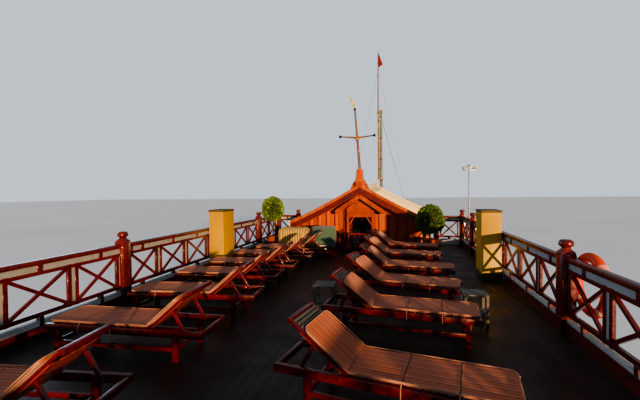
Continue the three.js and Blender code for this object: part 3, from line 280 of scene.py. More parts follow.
def plaits(tree, shader):
    """Plaits 18 mm apart both ways and ribs every 75 mm; the brown where the plaits turn under and between the
    ribs is painted shade in those hollows.
    """
    x, y, z = axes(tree, "Object")
    rib, upright, level = (
        calc(tree, "ABSOLUTE", calc(tree, "SINE", calc(tree, "MULTIPLY", axis, math.pi / pitch)))
        for axis, pitch in ((y, 0.075), (z, 0.018), (x, 0.018)))
    plait = calc(tree, "MULTIPLY", upright, level)
    # Darker where the plaits dip under: painted shade in the hollows of the weave
    depth = calc(tree, "MULTIPLY", plait, patches(tree, 6.0, 4.0))
    tint = ramp(tree, depth, (0.0, "#8a6a30"), (0.2, "#c4a95e"), (0.5, "#e2d08c"))
    # Brown between the ribs: painted shade in the grooves
    sockets(tree, shader, {
        "Base Color": blend(tree, spread(tree, rib, 0.75, 0.0), tint, "#6b5222"), "Roughness": 0.8,
        "Sheen Weight": 0.1, "Normal": relief(tree, plait, 0.003)})


def leafage(tree, shader):
    young = ramp(tree, patches(tree, 9.0, 2.0), (0.35, "#40611a"), (0.55, "#658c2c"), (0.72, "#a6b64a"))
    sockets(tree, shader, {"Base Color": young, "Roughness": 0.5})


def glass(tree, shader):
    # Near black, mostly opaque panes: painted shade of the room behind them
    cloud = patches(tree, 1.2, 1.0)
    sockets(tree, shader, {
        "Base Color": ramp(tree, cloud, (0.3, "#0b1013"), (0.7, "#161d20")),
        "Roughness": spread(tree, cloud, 0.03, 0.08), "IOR": 1.52, "Alpha": 0.82})


def floor_tone(tree, shader):
    tint = ramp(tree, patches(tree, 0.05, 2.0), (0.3, "#c3c9cd"), (0.7, "#ccd1d4"))
    sockets(tree, shader, {"Base Color": tint, "Emission Color": tint, "Emission Strength": 0.3, "Roughness": 0.9})


FINISHES = {
    # Boards: pale and deep tone, width (None for the panel's deck plank), axes they lie across, roughness,
    # seam, its depth, grain, coat
    # Tongued boards under glossy spar varnish: orange, with a red depth in the grain
    "varnished_boards": (boards, "spar_varnished_boards", "house", "house_deep", 0.14, "xy", 0.18,
                         0.006, 0.004, (30, 30, 2.5), 0.5),
    # Plywood backs of the loungers, orange under clear varnish, grain up the board
    "back_varnish": (boards, "varnished_plywood", "#d25a10", "#9c3808", 0.16, "uv", 0.2,
                     0.006, 0.004, (2.5, 40, 1), 0.6),
    # Old oiled hardwood deck boards: nearly black, with a dull sheen where they are damp
    "deck_boards": (boards, "oiled_hardwood_decking", "#1a140f", "#0a0805", None, "y", 0.36,
                    0.008, 0.004, (1.5, 30, 30)),
    # Dry hardwood boards of the covered decks, brown
    "lower_deck_boards": (boards, "scrubbed_hardwood_decking", "#6d4428", "#3c2214", 0.13, "y", 0.4,
                          0.008, 0.004, (1.5, 30, 30)),
    # Oiled planking laid along the sheer: brown, with caulked seams and streaks of weather
    "hull_planks": (boards, "oiled_hull_planking", "hull", "#2c130a", 0.2, "uv", 0.34,
                    0.012, 0.008, (0.7, 9, 1)),

    # Single timbers: pale and deep tone, roughness, coat, stretch of the grain
    # Squared hardwood under red stain and varnish: sharp highlights on a dark red
    "red_varnish": (timber, "red_stained_hardwood", "#8f2410", "#4e0d07", 0.22),
    # Planed hardwood of the porch under clear varnish: orange brown
    "porch_varnish": (timber, "clear_varnished_hardwood", "#c4570f", "#7c2a08", 0.22, 0.4),
    # Hardwood rails under several coats of red-brown stain varnish, nearly black in the shade
    "rail_varnish": (timber, "varnished_rail_hardwood", "rail", "#350c08", 0.2, 0.5),
    # Acacia lounger frames under bright red varnish
    "lounger_varnish": (timber, "varnished_acacia", "lounger", "#330304", 0.2, 0.5),
    # Wales and cap rail, kept bright with varnish
    "wale_varnish": (timber, "varnished_wale_timber", "#8d3a12", "#4f1b0a", 0.25, 0.4, (0.2, 3, 3)),
    # Grey paint on a spruce mast, checked and bleached along the grain
    "mast_paint": (timber, "bleached_mast_paint", "#938e86", "#5c564e", 0.5, 0.0, (6, 6, 0.3)),
    # Varnished spruce gone grey brown in the sun
    "pole_varnish": (timber, "bleached_spruce_pole", "#8a6a52", "#4f3626", 0.45, 0.1, (5, 5, 0.3)),
    # Bark of the shrubs: dull brown with dark furrows
    "bark": (timber, "rough_bark", "#5b4430", "#2b1e14", 0.7, 0.0, (4, 4, 0.5)),
    # Unpainted teak slats, silver grey from the weather
    "slats": (timber, "silvered_teak", "#84857f", "#4c4d4a", 0.6, 0.0),

    # Paints and metals: colour, roughness, metallic, mottle, its scale, depth of the skin, coat
    # Old gloss paint on thin boards: pale grey, chalked by the sun
    "pale_paint": (coated, "chalked_gloss_paint", "pale", 0.45, 0.0, 0.1, 6.0),
    # Brushed mustard enamel on sheet steel
    "trunk_paint": (coated, "brushed_mustard_enamel", "trunk", 0.38, 0.0, 0.07, 3.0, 0.001, 0.15),
    # Weathered olive grey paint on the trunk lids and feet
    "lid_paint": (coated, "weathered_grey_green_paint", "#5d5530", 0.6, 0.0, 0.2, 7.0),
    # Matt cream roof paint, sun bleached, with faint runs of dirt
    "roof_paint": (coated, "matt_cream_roof_paint", "roof", 0.6, 0.0, 0.1, 1.6),
    # Antifouling paint below the waterline: dull brick red
    "bottom_paint": (coated, "antifouling_paint", "#6c2a1e", 0.75, 0.0, 0.2, 2.0),
    # Yellow line paint
    "gold_paint": (coated, "yellow_line_paint", "#d8a21c", 0.4, 0.0, 0.08, 5.0),
    # Gloss on the head slats, dulled by hands; their grey is a painted reflection of the sky in the varnish,
    # mottled in patches
    "head_paint": (coated, "grey_gloss_enamel", "#596063", 0.3, 0.0, 0.12, 9.0, 0.001, 0.3),
    # Hot dipped zinc: dull grey with a faint spangle
    "galvanised": (coated, "hot_dipped_zinc", "#a6aaac", 0.42, 0.9, 0.12, 30.0),
    # Sand cast bronze, brightened by the water
    "bronze": (coated, "cast_bronze", "#a9803c", 0.32, 1.0, 0.15, 12.0),
    # Polished brass of portholes and door knobs
    "brass": (coated, "polished_brass", "#c9a14a", 0.22, 1.0, 0.08, 14.0),
    # Anchors and mast bands: iron under bitumen paint
    "black_iron": (coated, "bitumen_coated_iron", "#1b1a1a", 0.5, 0.4, 0.2, 10.0),
    # Sheet copper leaf under pale green weather
    "vane_copper": (coated, "verdigris_sheet_copper", "#ccd296", 0.5, 0.2, 0.2, 9.0),
    # Laid polyester rope, off white
    "rope_fibre": (coated, "laid_polyester_rope", "#b9b29c", 0.85, 0.0, 0.2, 60.0, 0.003),
    # Shaded inside of a clipped shrub
    "foliage_core": (coated, "shaded_leaf_mass", "#1d2c0d", 0.8, 0.0, 0.25, 20.0),
    # Unglazed terracotta pot with a pale bloom of lime
    "clay": (coated, "unglazed_terracotta", "#a4583a", 0.8, 0.0, 0.15, 9.0, 0.002),
    # Rotomoulded polyethylene shell, orange
    "buoy_skin": (coated, "rotomoulded_polyethylene", "#e2481a", 0.42, 0.0, 0.05, 8.0),
    # Retroreflective tape, silver white
    "buoy_band": (coated, "retroreflective_tape", "#d8dcdc", 0.3, 0.0, 0.04, 30.0),
    # Bias cut piping round the pads, faded pink beige
    "piping_cloth": (coated, "faded_cotton_piping", "#c99a84", 0.85, 0.0, 0.15, 20.0),

    # Woven cloths: pale and deep tone, pitch of the threads, roughness, sheen
    # Plain acrylic canvas on the sides of the pads, a paler salmon than their top: painted sunlight on the sides
    "pad_side_painted_sunlight": (weave, "faded_acrylic_canvas", "#d9a184", "#9a6247", 0.004, 0.85, 0.2),
    # Heavy cotton duck, faded green grey
    "teal_canvas": (weave, "faded_cotton_duck", "#5d8473", "#2a4a42", 0.008, 0.9, 0.3),
    # Thin knitted polyester, plain red
    "flag_cloth": (weave, "knitted_polyester", "#8e1220", "#560914", 0.006, 0.7, 0.4),

    # Woven acrylic of the pads: terracotta ground with tan and dark stripes
    "striped_cloth": (stripes, "woven_acrylic_stripe"),
    # Plaited straw, bleached cream
    "straw": (plaits, "plaited_straw"),
    # Small waxy leaves, yellow green where they are young
    "leaf_green": (leafage, "waxy_shrub_leaf"),
    # Float glass, near black and mostly opaque: the shade of the room behind it is painted into the pane
    "window_glass": (glass, "float_glass"),
    # Matt floor paint, nearly as pale as the backdrop
    "floor_paint": (floor_tone, "pale_matt_floor"),
}


@functools.cache
def look(key):
    """The material of a finish, made when it is first asked for."""
    maker, name, *row = FINISHES[key]
    made = bpy.data.materials.new(name)
    made.use_nodes = True
    maker(made.node_tree, made.node_tree.nodes["Principled BSDF"], *row)
    return made


# ---------------------------------------------------------------- joinery

# Edges that turn by less than the first angle are shaded smooth, by more than the second are eased
SMOOTH, SHARP = 0.7, math.radians(46)


def mode(name):
    bpy.ops.object.mode_set(mode=name)


def pick(made=None):
    """Selects one object alone, or none."""
    bpy.ops.object.select_all(action="DESELECT")
    if made:
        made.select_set(True)
        bpy.context.view_layer.objects.active = made


def modify(made, kind, **settings):
    """Adds a modifier and applies it."""
    step = made.modifiers.new(kind.title(), kind)
    for key, value in settings.items():
        setattr(step, key, value)
    bpy.ops.object.modifier_apply(modifier=step.name)


def settled(made, pinned, frames, gravity=1.0, **settings):
    """Where the points of a cloth come to in some frames, with one vertex group pinned."""
    scene = bpy.context.scene
    cloth = made.modifiers.new("Cloth", "CLOTH")
    for key, value in settings.items():
        setattr(cloth.settings, key, value)
    cloth.settings.vertex_group_mass = pinned
    cloth.settings.effector_weights.gravity = gravity
    for number in range(1, frames + 1):
        scene.frame_set(number)
    shaped = made.evaluated_get(bpy.context.evaluated_depsgraph_get())
    places = [v.co.copy() for v in shaped.data.vertices]
    made.modifiers.remove(cloth)
    scene.frame_set(1)
    return places


def cut(axis, places):
    """Cuts the active mesh across an axis at each place."""
    mode("EDIT")
    for place in places:
        bpy.ops.mesh.select_all(action="SELECT")
        bpy.ops.mesh.bisect(plane_co=tuple(place * a for a in axis), plane_no=axis)
    mode("OBJECT")


def chart(made, name, place_of):
    """Lays a map over a mesh: place_of gives the spot on the map for a vertex."""
    layer = made.data.uv_layers.active or made.data.uv_layers.new(name=name)
    for loop in made.data.loops:
        layer.data[loop.index].uv = place_of(made.data.vertices[loop.vertex_index])


def begin():
    """Opens an empty mesh on the bench, ready for timbers to be added to it."""
    pick()
    bpy.ops.object.add(type="MESH", enter_editmode=True, location=(0, 0, 0))


def block(x0, x1, y0, y1, z0, z1):
    bpy.ops.mesh.primitive_cube_add(size=1, location=((x0 + x1) / 2, (y0 + y1) / 2, (z0 + z1) / 2),
                                    scale=(abs(x1 - x0), abs(y1 - y0), abs(z1 - z0)))


def post(x, y, half_x, half_y, z0, z1):
    """A block that stands round an upright axis."""
    block(x - half_x, x + half_x, y - half_y, y + half_y, z0, z1)


def beam(a, b, wide, high):
    """Squared timber between two points; high is its upright side."""
    a, b = Vector(a), Vector(b)
    bpy.ops.mesh.primitive_cube_add(
        size=1, location=(a + b) / 2, rotation=(b - a).to_track_quat("X", "Z").to_euler(),
        scale=((b - a).length, wide, high))


def pole(a, b, r0, r1=None, sides=12):
    """Round timber or bar between two points."""
    a, b = Vector(a), Vector(b)
    bpy.ops.mesh.primitive_cone_add(
        vertices=sides, radius1=r0, radius2=r0 if r1 is None else r1, depth=(b - a).length,
        location=(a + b) / 2, rotation=(b - a).to_track_quat("Z", "Y").to_euler())


def knob(centre, radius, sides=12, scale=(1, 1, 1)):
    bpy.ops.mesh.primitive_uv_sphere_add(
        segments=sides, ring_count=sides // 2 + 1, radius=radius, location=centre, scale=scale)


def ring(centre, radius, thick, turn=(0, 0, 0), sides=24, round_sides=8):
    bpy.ops.mesh.primitive_torus_add(
        location=centre, rotation=turn, major_radius=radius, minor_radius=thick,
        major_segments=sides, minor_segments=round_sides)


def turned(profile, x, y, z, sides=16):
    """Turned timber on an upright axis: radius and height rows above z."""
    radius, height = profile[0]
    bpy.ops.mesh.primitive_circle_add(vertices=sides, radius=radius, fill_type="NGON", location=(x, y, z + height))
    for next_radius, next_height in profile[1:]:
        bpy.ops.mesh.extrude_region_move(TRANSFORM_OT_translate={"value": (0, 0, next_height - height)})
        grow = next_radius / radius
        bpy.ops.transform.resize(value=(grow, grow, 1), center_override=(x, y, z + next_height))
        radius, height = next_radius, next_height


def run(points, normal, wide, high):
    """A moulding along points, whose section stays square to one axis; wide is across, high is up."""
    points = [Vector(p) for p in points]
    quarter = math.pi / 2
    turn, scale = {"x": ((0, quarter, 0), (1, wide, high)), "y": ((quarter, 0, 0), (wide, 1, high))}[normal]
    bpy.ops.mesh.primitive_plane_add(size=1, location=points[0], rotation=turn)
    bpy.ops.transform.resize(value=scale, center_override=points[0])
    for here, there in zip(points, points[1:]):
        bpy.ops.mesh.extrude_region_move(TRANSFORM_OT_translate={"value": there - here})


def end(name, finish, edge=None, segments=1, **mount):
    """Closes the mesh on the bench, eases its edges, and gives it its finish and its body."""
    bpy.ops.mesh.select_all(action="SELECT")
    bpy.ops.mesh.normals_make_consistent(inside=False)
    mode("OBJECT")
    made = bpy.context.object
    made.name = made.data.name = name
    return complete(made, finish, sizes().timber_edge if edge is None else edge, segments, **mount)


def complete(made, finish, edge=0.0, segments=1, replaces=None, body="root", slot=None, smooth=SMOOTH):
    """Eases edges, shades, paints and mounts a finished mesh; finish is one key or several."""
    pick(made)
    if edge:
        modify(made, "BEVEL", width=edge, segments=segments, limit_method="ANGLE", angle_limit=SHARP,
               use_clamp_overlap=True)
    if smooth:
        bpy.ops.object.shade_smooth_by_angle(angle=smooth)
    made.data.materials.clear()
    for key in [finish] if isinstance(finish, str) else finish:
        made.data.materials.append(look(key))
    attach(made, body)
    if replaces:
        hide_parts(replaces)
    return made


def copy_of(original, name, matrix):
    """A copy with its own mesh, moved in its mesh."""
    made = original.copy()
    made.data = original.data.copy()
    made.name = made.data.name = name
    made.data.transform(matrix)
    bpy.context.scene.collection.objects.link(made)
    return made


def body_of(node):
    return frame["nodes"][node]["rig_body"]


def slot_of(node):
    """The material slot that the record gives a node."""
    return next(s["material_slot"] for s in frame["record"]["subparts"] if s["node"] == node)


def dressed(node, finish, edge=0.004, segments=1, smooth=SMOOTH):
    """A copy of a frame node with eased edges, standing for the node."""
    made = copy_of(frame["nodes"][node], node + "_dressed", Matrix.Identity(4))
    for key in [k for k in made.keys() if k.startswith("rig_")]:
        del made[key]
    made.parent = None
    pick(made)
    mode("EDIT")
    bpy.ops.mesh.select_all(action="SELECT")
    bpy.ops.mesh.remove_doubles(threshold=0.00005)
    bpy.ops.mesh.dissolve_limited(angle_limit=math.radians(0.5))
    mode("OBJECT")
    return complete(made, finish, edge, segments, node, body_of(node), slot_of(node), smooth)


@functools.cache
def skin_of(node):
    target = frame["nodes"][node]
    points = [target.matrix_world @ v.co for v in target.data.vertices]
    return BVHTree.FromPolygons(points, [tuple(face.vertices) for face in target.data.polygons])


def hit(node, start, direction):
    """Where a line first meets a frame node."""
    place = skin_of(node).ray_cast(Vector(start), Vector(direction))[0]
    if place is None:
        raise RuntimeError(f"no surface of {node} at {tuple(start)}")
    return place


def hull_side(x, z, side):
    """Half breadth of the hull skin at a place on its side."""
    return abs(hit("hull", (x, side * 6, z), (0, -side, 0)).y)


def roof_top(x, y):
    return hit("house_roof", (x, y, 12), (0, 0, -1)).z


def cord_mesh(points, radius, name, finish, closed=False, sides=2):
    """A taut line or a piping as a round tube along its points."""
    pick()
    bpy.ops.curve.primitive_bezier_curve_add(location=(0, 0, 0))
    made = bpy.context.object
    made.name = made.data.name = name
    made.data.splines.clear()
    spline = made.data.splines.new("POLY")
    spline.points.add(len(points) - 1)
    for point, place in zip(spline.points, points):
        point.co = (*place, 1)
    spline.use_cyclic_u = closed
    made.data.dimensions = "3D"
    made.data.bevel_depth, made.data.bevel_resolution = radius, sides
    made.data.use_fill_caps = not closed
    bpy.ops.object.convert(target="MESH")
    return complete(bpy.context.object, finish)


# ---------------------------------------------------------------- pieces

class JUNK_OT_stage(bpy.types.Operator):
    """Pale floor at the waterline, soft light, and the camera on the sun deck"""
    bl_idname = "junk.stage"
    bl_label = "Stage"
    # Azimuth, height and width in degrees, power, colour. The key is as low as morning sun and comes from
    # aft on the starboard side, the fill is weak and comes from port ahead.
    SUNS = {"key": (208, 4.5, 1.2, 5.5, "#ffc890"), "fill": (65, 8, 40, 0.7, "#dfe9ff")}
    # A person's eye above the sun deck, looking forward and a little to port
    EYE, YAW, PITCH, ROLL = (-10.45, -1.2575, 7.609), 0.225, -0.021, 0.010
    SENSOR, LENS, FLOOR = 36, 350 / 640 * 36, 900

    def execute(self, context):
        pick()
        bpy.ops.mesh.primitive_plane_add(size=self.FLOOR, location=(0, 0, 0))
        floor = context.object
        floor.name = "floor"
        floor.data.materials.append(look("floor_paint"))
        self.light(context.scene)
        self.camera(context.scene)
        return {"FINISHED"}

    def light(self, scene):
        world = scene.world = bpy.data.worlds.new("soft_studio")
        world.use_nodes = True
        # The eye sees a pale backdrop; what falls on the ship is dimmer, so that the low sun models it
        seen = add(world.node_tree, "LightPath", out="Is Camera Ray")
        strength = add(world.node_tree, "MapRange", {0: seen, 3: 0.32, 4: 0.9})
        sockets(world.node_tree, world.node_tree.nodes["Background"],
                {"Color": (*linear("#dbe5f1"), 1), "Strength": strength})
        for name, (azimuth, height, wide, power, tint) in self.SUNS.items():
            light = bpy.data.lights.new(name, "SUN")
            light.energy, light.angle, light.color = power, math.radians(wide), linear(tint)
            lamp = bpy.data.objects.new(name, light)
            a, e = math.radians(azimuth), math.radians(height)
            towards = Vector((math.cos(a) * math.cos(e), math.sin(a) * math.cos(e), math.sin(e)))
            lamp.rotation_euler = towards.to_track_quat("Z", "Y").to_euler()
            scene.collection.objects.link(lamp)
        scene.view_settings.look = "AgX - Medium High Contrast"

    def camera(self, scene):
        yaw, pitch, roll = self.YAW, self.PITCH, self.ROLL
        ahead = Vector((math.cos(yaw) * math.cos(pitch), math.sin(yaw) * math.cos(pitch), math.sin(pitch)))
        level = Vector((math.sin(yaw), -math.cos(yaw), 0))
        above = level.cross(ahead)
        right = math.cos(roll) * level - math.sin(roll) * above
        up = math.sin(roll) * level + math.cos(roll) * above
        camera = scene.camera = bpy.data.objects.new("camera", bpy.data.cameras.new("camera"))
        camera.data.sensor_width, camera.data.lens = self.SENSOR, self.LENS
        camera.data.clip_start, camera.data.clip_end = 0.05, 2000
        camera.matrix_world = Matrix.Translation(self.EYE) @ Matrix((right, up, -ahead)).transposed().to_4x4()
        scene.collection.objects.link(camera)


class JUNK_OT_hull(bpy.types.Operator):
    """Planked hull with bottom paint, decks, wales, portholes, anchors, rudder and propeller"""
    bl_idname = "junk.hull"
    bl_label = "Hull"
    # Keel and rail height of the hull skin along its length
    LINES = (
        (-15.5, 1.15, 3.3), (-14.5, 0.42, 3.06), (-13.2, -0.16, 2.76), (-11.5, -0.72, 2.46), (-9, -1.15, 2.21),
        (-6, -1.38, 2.06), (-2.5, -1.48, 2.0), (1.5, -1.5, 2.02), (5, -1.46, 2.15), (8, -1.3, 2.43),
        (10.5, -0.95, 2.82), (12.5, -0.35, 3.25), (14, 0.5, 3.66), (15, 1.5, 3.96), (15.5, 2.15, 4.12))
    # Where the bottom paint ends, and where the wale and the cap lie as shares of the skin's height
    PAINT_TOP, WALE, CAP = 0.12, (0.7, 0.766), 0.957
    # Height of the planking's map in metres, the same from stem to stern so that the planks run along the sheer
    GIRTH = 3.6
    # Mouldings bent round the hull: share of the skin's height, width, height, finish
    TRIM = {
        "rubbing_strake": (0.86, 0.05, 0.09, "wale_varnish"),
        "lower_strake": (0.662, 0.035, 0.06, "wale_varnish"),
        "yellow_line": (0.915, 0.016, 0.05, "gold_paint"),
    }

    def execute(self, context):
        hull = dressed("hull", ("hull_planks", "bottom_paint", "lower_deck_boards", "wale_varnish"), 0.006, 1, 0.5)
        self.lay_planks(hull)
        rudder = frame["nodes"]["rudder"].data.materials
        rudder.clear()
        rudder.append(look("bottom_paint"))
        dressed("propeller", "bronze", 0.003)
        self.side_trim()
        self.portholes()
        self.anchors()
        return {"FINISHED"}

    def lines(self, x):
        """Keel and rail height at a place along the hull."""
        pairs = list(zip(self.LINES, self.LINES[1:]))
        (x0, *low), (x1, *high) = next((p for p in pairs if x <= p[1][0]), pairs[-1])
        share = max(0.0, (x - x0) / (x1 - x0))
        return [a + share * (b - a) for a, b in zip(low, high)]

    def height(self, x, share):
        """Height of a share of the skin at a place along the hull."""
        keel, rail = self.lines(x)
        return keel + share * (rail - keel)

    def share(self, place):
        keel, rail = self.lines(place.x)
        return (place.z - keel) / (rail - keel)

    def lay_planks(self, hull):
        """Maps the planking as shares of the skin's height, and tells deck, wale, cap and bottom from the side."""
        cut((0, 0, 1), [self.PAINT_TOP])
        chart(hull, "planks", lambda vertex: (vertex.co.x, self.GIRTH * self.share(vertex.co)))
        side, bottom, deck, bright = range(4)
        for face in hull.data.polygons:
            centre, normal = face.center, face.normal
            up = self.share(centre)
            if normal.z > 0.9 and min(abs(centre.z - d) for d in (MAIN_DECK, FORE_DECK, POOP_DECK)) < 0.02:
                face.material_index = deck
            elif up > self.CAP or self.WALE[0] < up < self.WALE[1] and abs(normal.x) < 0.9:
                face.material_index = bright
            else:
                face.material_index = bottom if centre.z < self.PAINT_TOP else side

    def side_trim(self):
        """Rubbing strakes and a yellow line, bent round the hull at its own half breadth."""
        for name, (share, wide, high, finish) in self.TRIM.items():
            for side_name, side in SIDES:
                begin()
                spots = [(x, self.height(x, share)) for x in (-15.25 + n * 0.25 for n in range(123))]
                run([(x, side * (hull_side(x, z, side) + wide * 0.3), z) for x, z in spots], "x", wide, high)
                end(f"{name}_{side_name}", finish, 0.004)

    def portholes(self):
        """Eight glazed portholes a side, turned to the skin, each with a bolted ring."""
        radius, reach = 0.17, 0.15
        for side_name, side in SIDES:
            places = []
            for n in range(8):
                x = -9.6 + n * 2.4
                z = self.height(x, 0.57)
                ahead = hull_side(x + reach, z, side) - hull_side(x - reach, z, side)
                above = hull_side(x, z + reach, side) - hull_side(x, z - reach, side)
                out = Vector((-ahead / (2 * reach), side, -above / (2 * reach))).normalized()
                places.append((Vector((x, side * hull_side(x, z, side), z)) + out * 0.008, out))
            begin()
            for place, out in places:
                turn = out.to_track_quat("Z", "Y")
                ring(place, radius, 0.028, turn.to_euler())
                for bolt in range(6):
                    a = bolt * math.pi / 3
                    knob(place + turn @ Vector((radius * math.cos(a), radius * math.sin(a), 0.026)), 0.012, 6)
            end(f"porthole_rings_{side_name}", "brass", 0)
            begin()
            for place, out in places:
                pole(place - out * 0.03, place + out * 0.004, radius - 0.005, sides=24)
            end(f"porthole_panes_{side_name}", "window_glass", 0.002)

    def anchors(self):
        """A stocked anchor on each bow, hung from its ring."""
        x, z = 13.1, 2.45
        for side_name, side in SIDES:
            y = side * (hull_side(x, z, side) + 0.05)
            off = y + side * 0.02
            begin()
            ring((x, y, z + 0.25), 0.13, 0.04, (math.pi / 2, 0, 0.35 * side))
            pole((x, y, z + 0.25), (x - 0.1, off, z - 0.45), 0.035)
            pole((x - 0.32, off, z - 0.42), (x + 0.12, off, z - 0.46), 0.045)
            for arm in (-0.3, 0.1):
                pole((x + arm, off, z - 0.44), (x + arm * 1.1 + 0.02, y + side * 0.05, z - 0.1), 0.04, 0.012)
            end(f"anchor_{side_name}", "black_iron", 0.004)


class JUNK_OT_houses(bpy.types.Operator):
    """Varnished walls of saloon, cabins and wheelhouse, with framed and glazed windows and the doors"""
    bl_idname = "junk.houses"
    bl_label = "Houses"
    WALLS = ("saloon_side_port", "saloon_side_starboard", "saloon_front", "saloon_back", "cabin_side_port",
             "cabin_side_starboard", "cabin_back", "wheelhouse_side_port", "wheelhouse_side_starboard",
             "wheelhouse_front")
    # Walls: axis across them, its place, way out; windows: first centre, step, number, width, sill, head
    WINDOWS = {
        "saloon_port": ("y", 3.05, 1, -11, 2.125, 9, 1.35, 2.15, 3.12),
        "saloon_starboard": ("y", -3.05, -1, -11, 2.125, 9, 1.35, 2.15, 3.12),
        "saloon_front": ("x", 7.0, 1, -1.6, 3.2, 2, 1.4, 2.15, 3.12),
        "saloon_back": ("x", -12.0, -1, -1.35, 2.7, 2, 1.3, 2.15, 3.12),
        "cabin_port": ("y", 2.55, 1, -11.5, 1.95, 6, 1.0, 4.4, 5.35),
        "cabin_starboard": ("y", -2.55, -1, -11.5, 1.95, 6, 1.0, 4.4, 5.35),
        "cabin_back": ("x", -12.4, -1, -1.1, 2.2, 2, 1.2, 4.4, 5.35),
        "wheelhouse_port": ("y", 2.15, 1, 3.0, 1.02, 5, 0.82, 4.75, 5.75),
        "wheelhouse_starboard": ("y", -2.15, -1, 3.0, 1.02, 5, 0.82, 4.75, 5.75),
        "wheelhouse_front": ("x", 7.7, 1, -1.25, 1.25, 3, 1.0, 4.75, 5.75),
    }
    # Doors: place of the knob, way out, box of the pane
    DOORS = {
        "saloon_door": ((7.0, -0.34, 2.25), (1, 0, 0), (6.974, 6.98, -0.312, 0.312, 2.283, 3.032)),
        "cabin_door_port": ((-0.82, 2.55, 4.6), (0, 1, 0), (-0.762, -0.338, 2.524, 2.53, 4.602, 5.332)),
        "cabin_door_starboard": ((-0.82, -2.55, 4.6), (0, -1, 0), (-0.762, -0.338, -2.53, -2.524, 4.602, 5.332)),
    }

    def execute(self, context):
        for node in self.WALLS:
            dressed(node, "varnished_boards", 0.003)
        for node in self.DOORS:
            dressed(node, "red_varnish", 0.004, 2)
        for name, row in self.WINDOWS.items():
            self.windows(name, *row)
        for node, row in self.DOORS.items():
            self.door_fittings(node, *row)
        return {"FINISHED"}

    def windows(self, name, axis, face, out, first, step, number, wide, low, high):
        """Casings, sills, bars and panes for one wall."""
        def put(u0, u1, w0, w1, z0, z1):
            w0, w1 = face + out * w0, face + out * w1
            block(*((u0, u1, w0, w1) if axis == "y" else (w0, w1, u0, u1)), z0, z1)
        centres = [first + step * n for n in range(number)]
        bars = 2 if wide > 1.2 else 1
        begin()
        for centre in centres:
            u0, u1 = centre - wide / 2, centre + wide / 2
            for jamb, inward in ((u0, 1), (u1, -1)):
                put(jamb - inward * 0.058, jamb + inward * 0.035, -0.088, 0.02, low - 0.01, high + 0.01)
            put(u0 - 0.06, u1 + 0.06, -0.09, 0.022, high - 0.035, high + 0.06)
            put(u0 - 0.08, u1 + 0.08, -0.09, 0.045, low - 0.06, low + 0.035)
            for n in range(bars):
                at = u0 + wide * (n + 1) / (bars + 1)
                put(at - 0.02, at + 0.02, -0.055, 0.0, low, high)
            put(u0, u1, -0.05, -0.005, high - 0.3, high - 0.27)
        end("window_frames_" + name, "red_varnish", 0.004)
        begin()
        for centre in centres:
            put(centre - wide / 2 + 0.01, centre + wide / 2 - 0.01, -0.034, -0.026, low + 0.01, high - 0.01)
        end("window_panes_" + name, "window_glass", 0)

    def door_fittings(self, node, place, out, pane):
        """A pane and a brass knob, riding on their door."""
        begin()
        block(*pane)
        end(node + "_pane", "window_glass", 0, body=body_of(node))
        begin()
        out = Vector(out)
        start = Vector(place) - out * 0.005
        pole(start, start + out * 0.012, 0.032, sides=16)
        pole(start, start + out * 0.028, 0.01, sides=10)
        knob(start + out * 0.034, 0.016, 12)
        end(node + "_knob", "brass", 0, body=body_of(node))


class JUNK_OT_decks(bpy.types.Operator):
    """Sun deck planks between pale coamings, and the boards of the upper deck"""
    bl_idname = "junk.decks"
    bl_label = "Decks"
    # Edges of the sun deck
    AFT, FORE, SIDE = -14.2, 2.3, 3.45

    def execute(self, context):
        deck = dressed("sun_deck", ("deck_boards", "pale_paint", "varnished_boards"), 0.003)
        for face in deck.data.polygons:
            centre = face.center
            if centre.z > SUN_DECK + 0.012:
                face.material_index = 1
            elif face.normal.z < 0.5 and centre.z < SUN_DECK - 0.005:
                face.material_index = 2
        upper = dressed("upper_deck", ("lower_deck_boards", "red_varnish"), 0.004)
        for face in upper.data.polygons:
            if face.normal.z < 0.5:
                face.material_index = 1
        self.fascia()
        return {"FINISHED"}

    def fascia(self):
        """Moulded boards under the edge of the sun deck."""
        low, high = SUN_DECK - 0.2, SUN_DECK - 0.02
        begin()
        for side in (1, -1):
            inner = side * (self.SIDE - 0.03)
            block(self.AFT, self.FORE, inner, side * (self.SIDE + 0.012), low, high)
            block(self.AFT, self.FORE, inner, side * (self.SIDE + 0.03), SUN_DECK - 0.09, SUN_DECK - 0.05)
        block(self.AFT - 0.012, self.AFT + 0.03, -self.SIDE, self.SIDE, low, high)
        end("sun_deck_fascia", "rail_varnish", 0.006)


# How far the far side of a bay's end upright stands from the end of the bay, at a newel and elsewhere
AT_NEWEL, AT_GAP = 0.17, 0.087


def rail_panel(a, b, base, heights, gauge, first=AT_GAP, last=AT_GAP):
    """One bay of a railing from a to b: rails, the upright at each end, crossed braces and blocks."""
    a, b = Vector((*a, base)), Vector((*b, base))
    along, span = (b - a).normalized(), (b - a).length
    low, high, foot, head = heights
    upright = 0.056

    def put(u0, z0, u1, z1, wide, thick):
        beam(a + along * u0 + Vector((0, 0, z0)), a + along * u1 + Vector((0, 0, z1)), wide, thick)
    put(0, low + 0.045, span, low + 0.045, gauge, 0.06)
    put(0, high - 0.03, span, high - 0.03, gauge, 0.05)
    for place in (first - upright / 2, span - last + upright / 2):
        put(place, low + 0.01, place, high, gauge - 0.003, upright)
    u0, u1, z0, z1 = first, span - last, low + 0.075, high - 0.055
    put(u0, z0, u1, z1, gauge - 0.005, 0.044)
    put(u0, z1, u1, z0, gauge - 0.008, 0.044)
    put(span / 2, foot, span / 2, low + 0.03, 0.068, 0.058)
    put(span / 2, high - 0.02, span / 2, head, gauge + 0.006, 0.058)


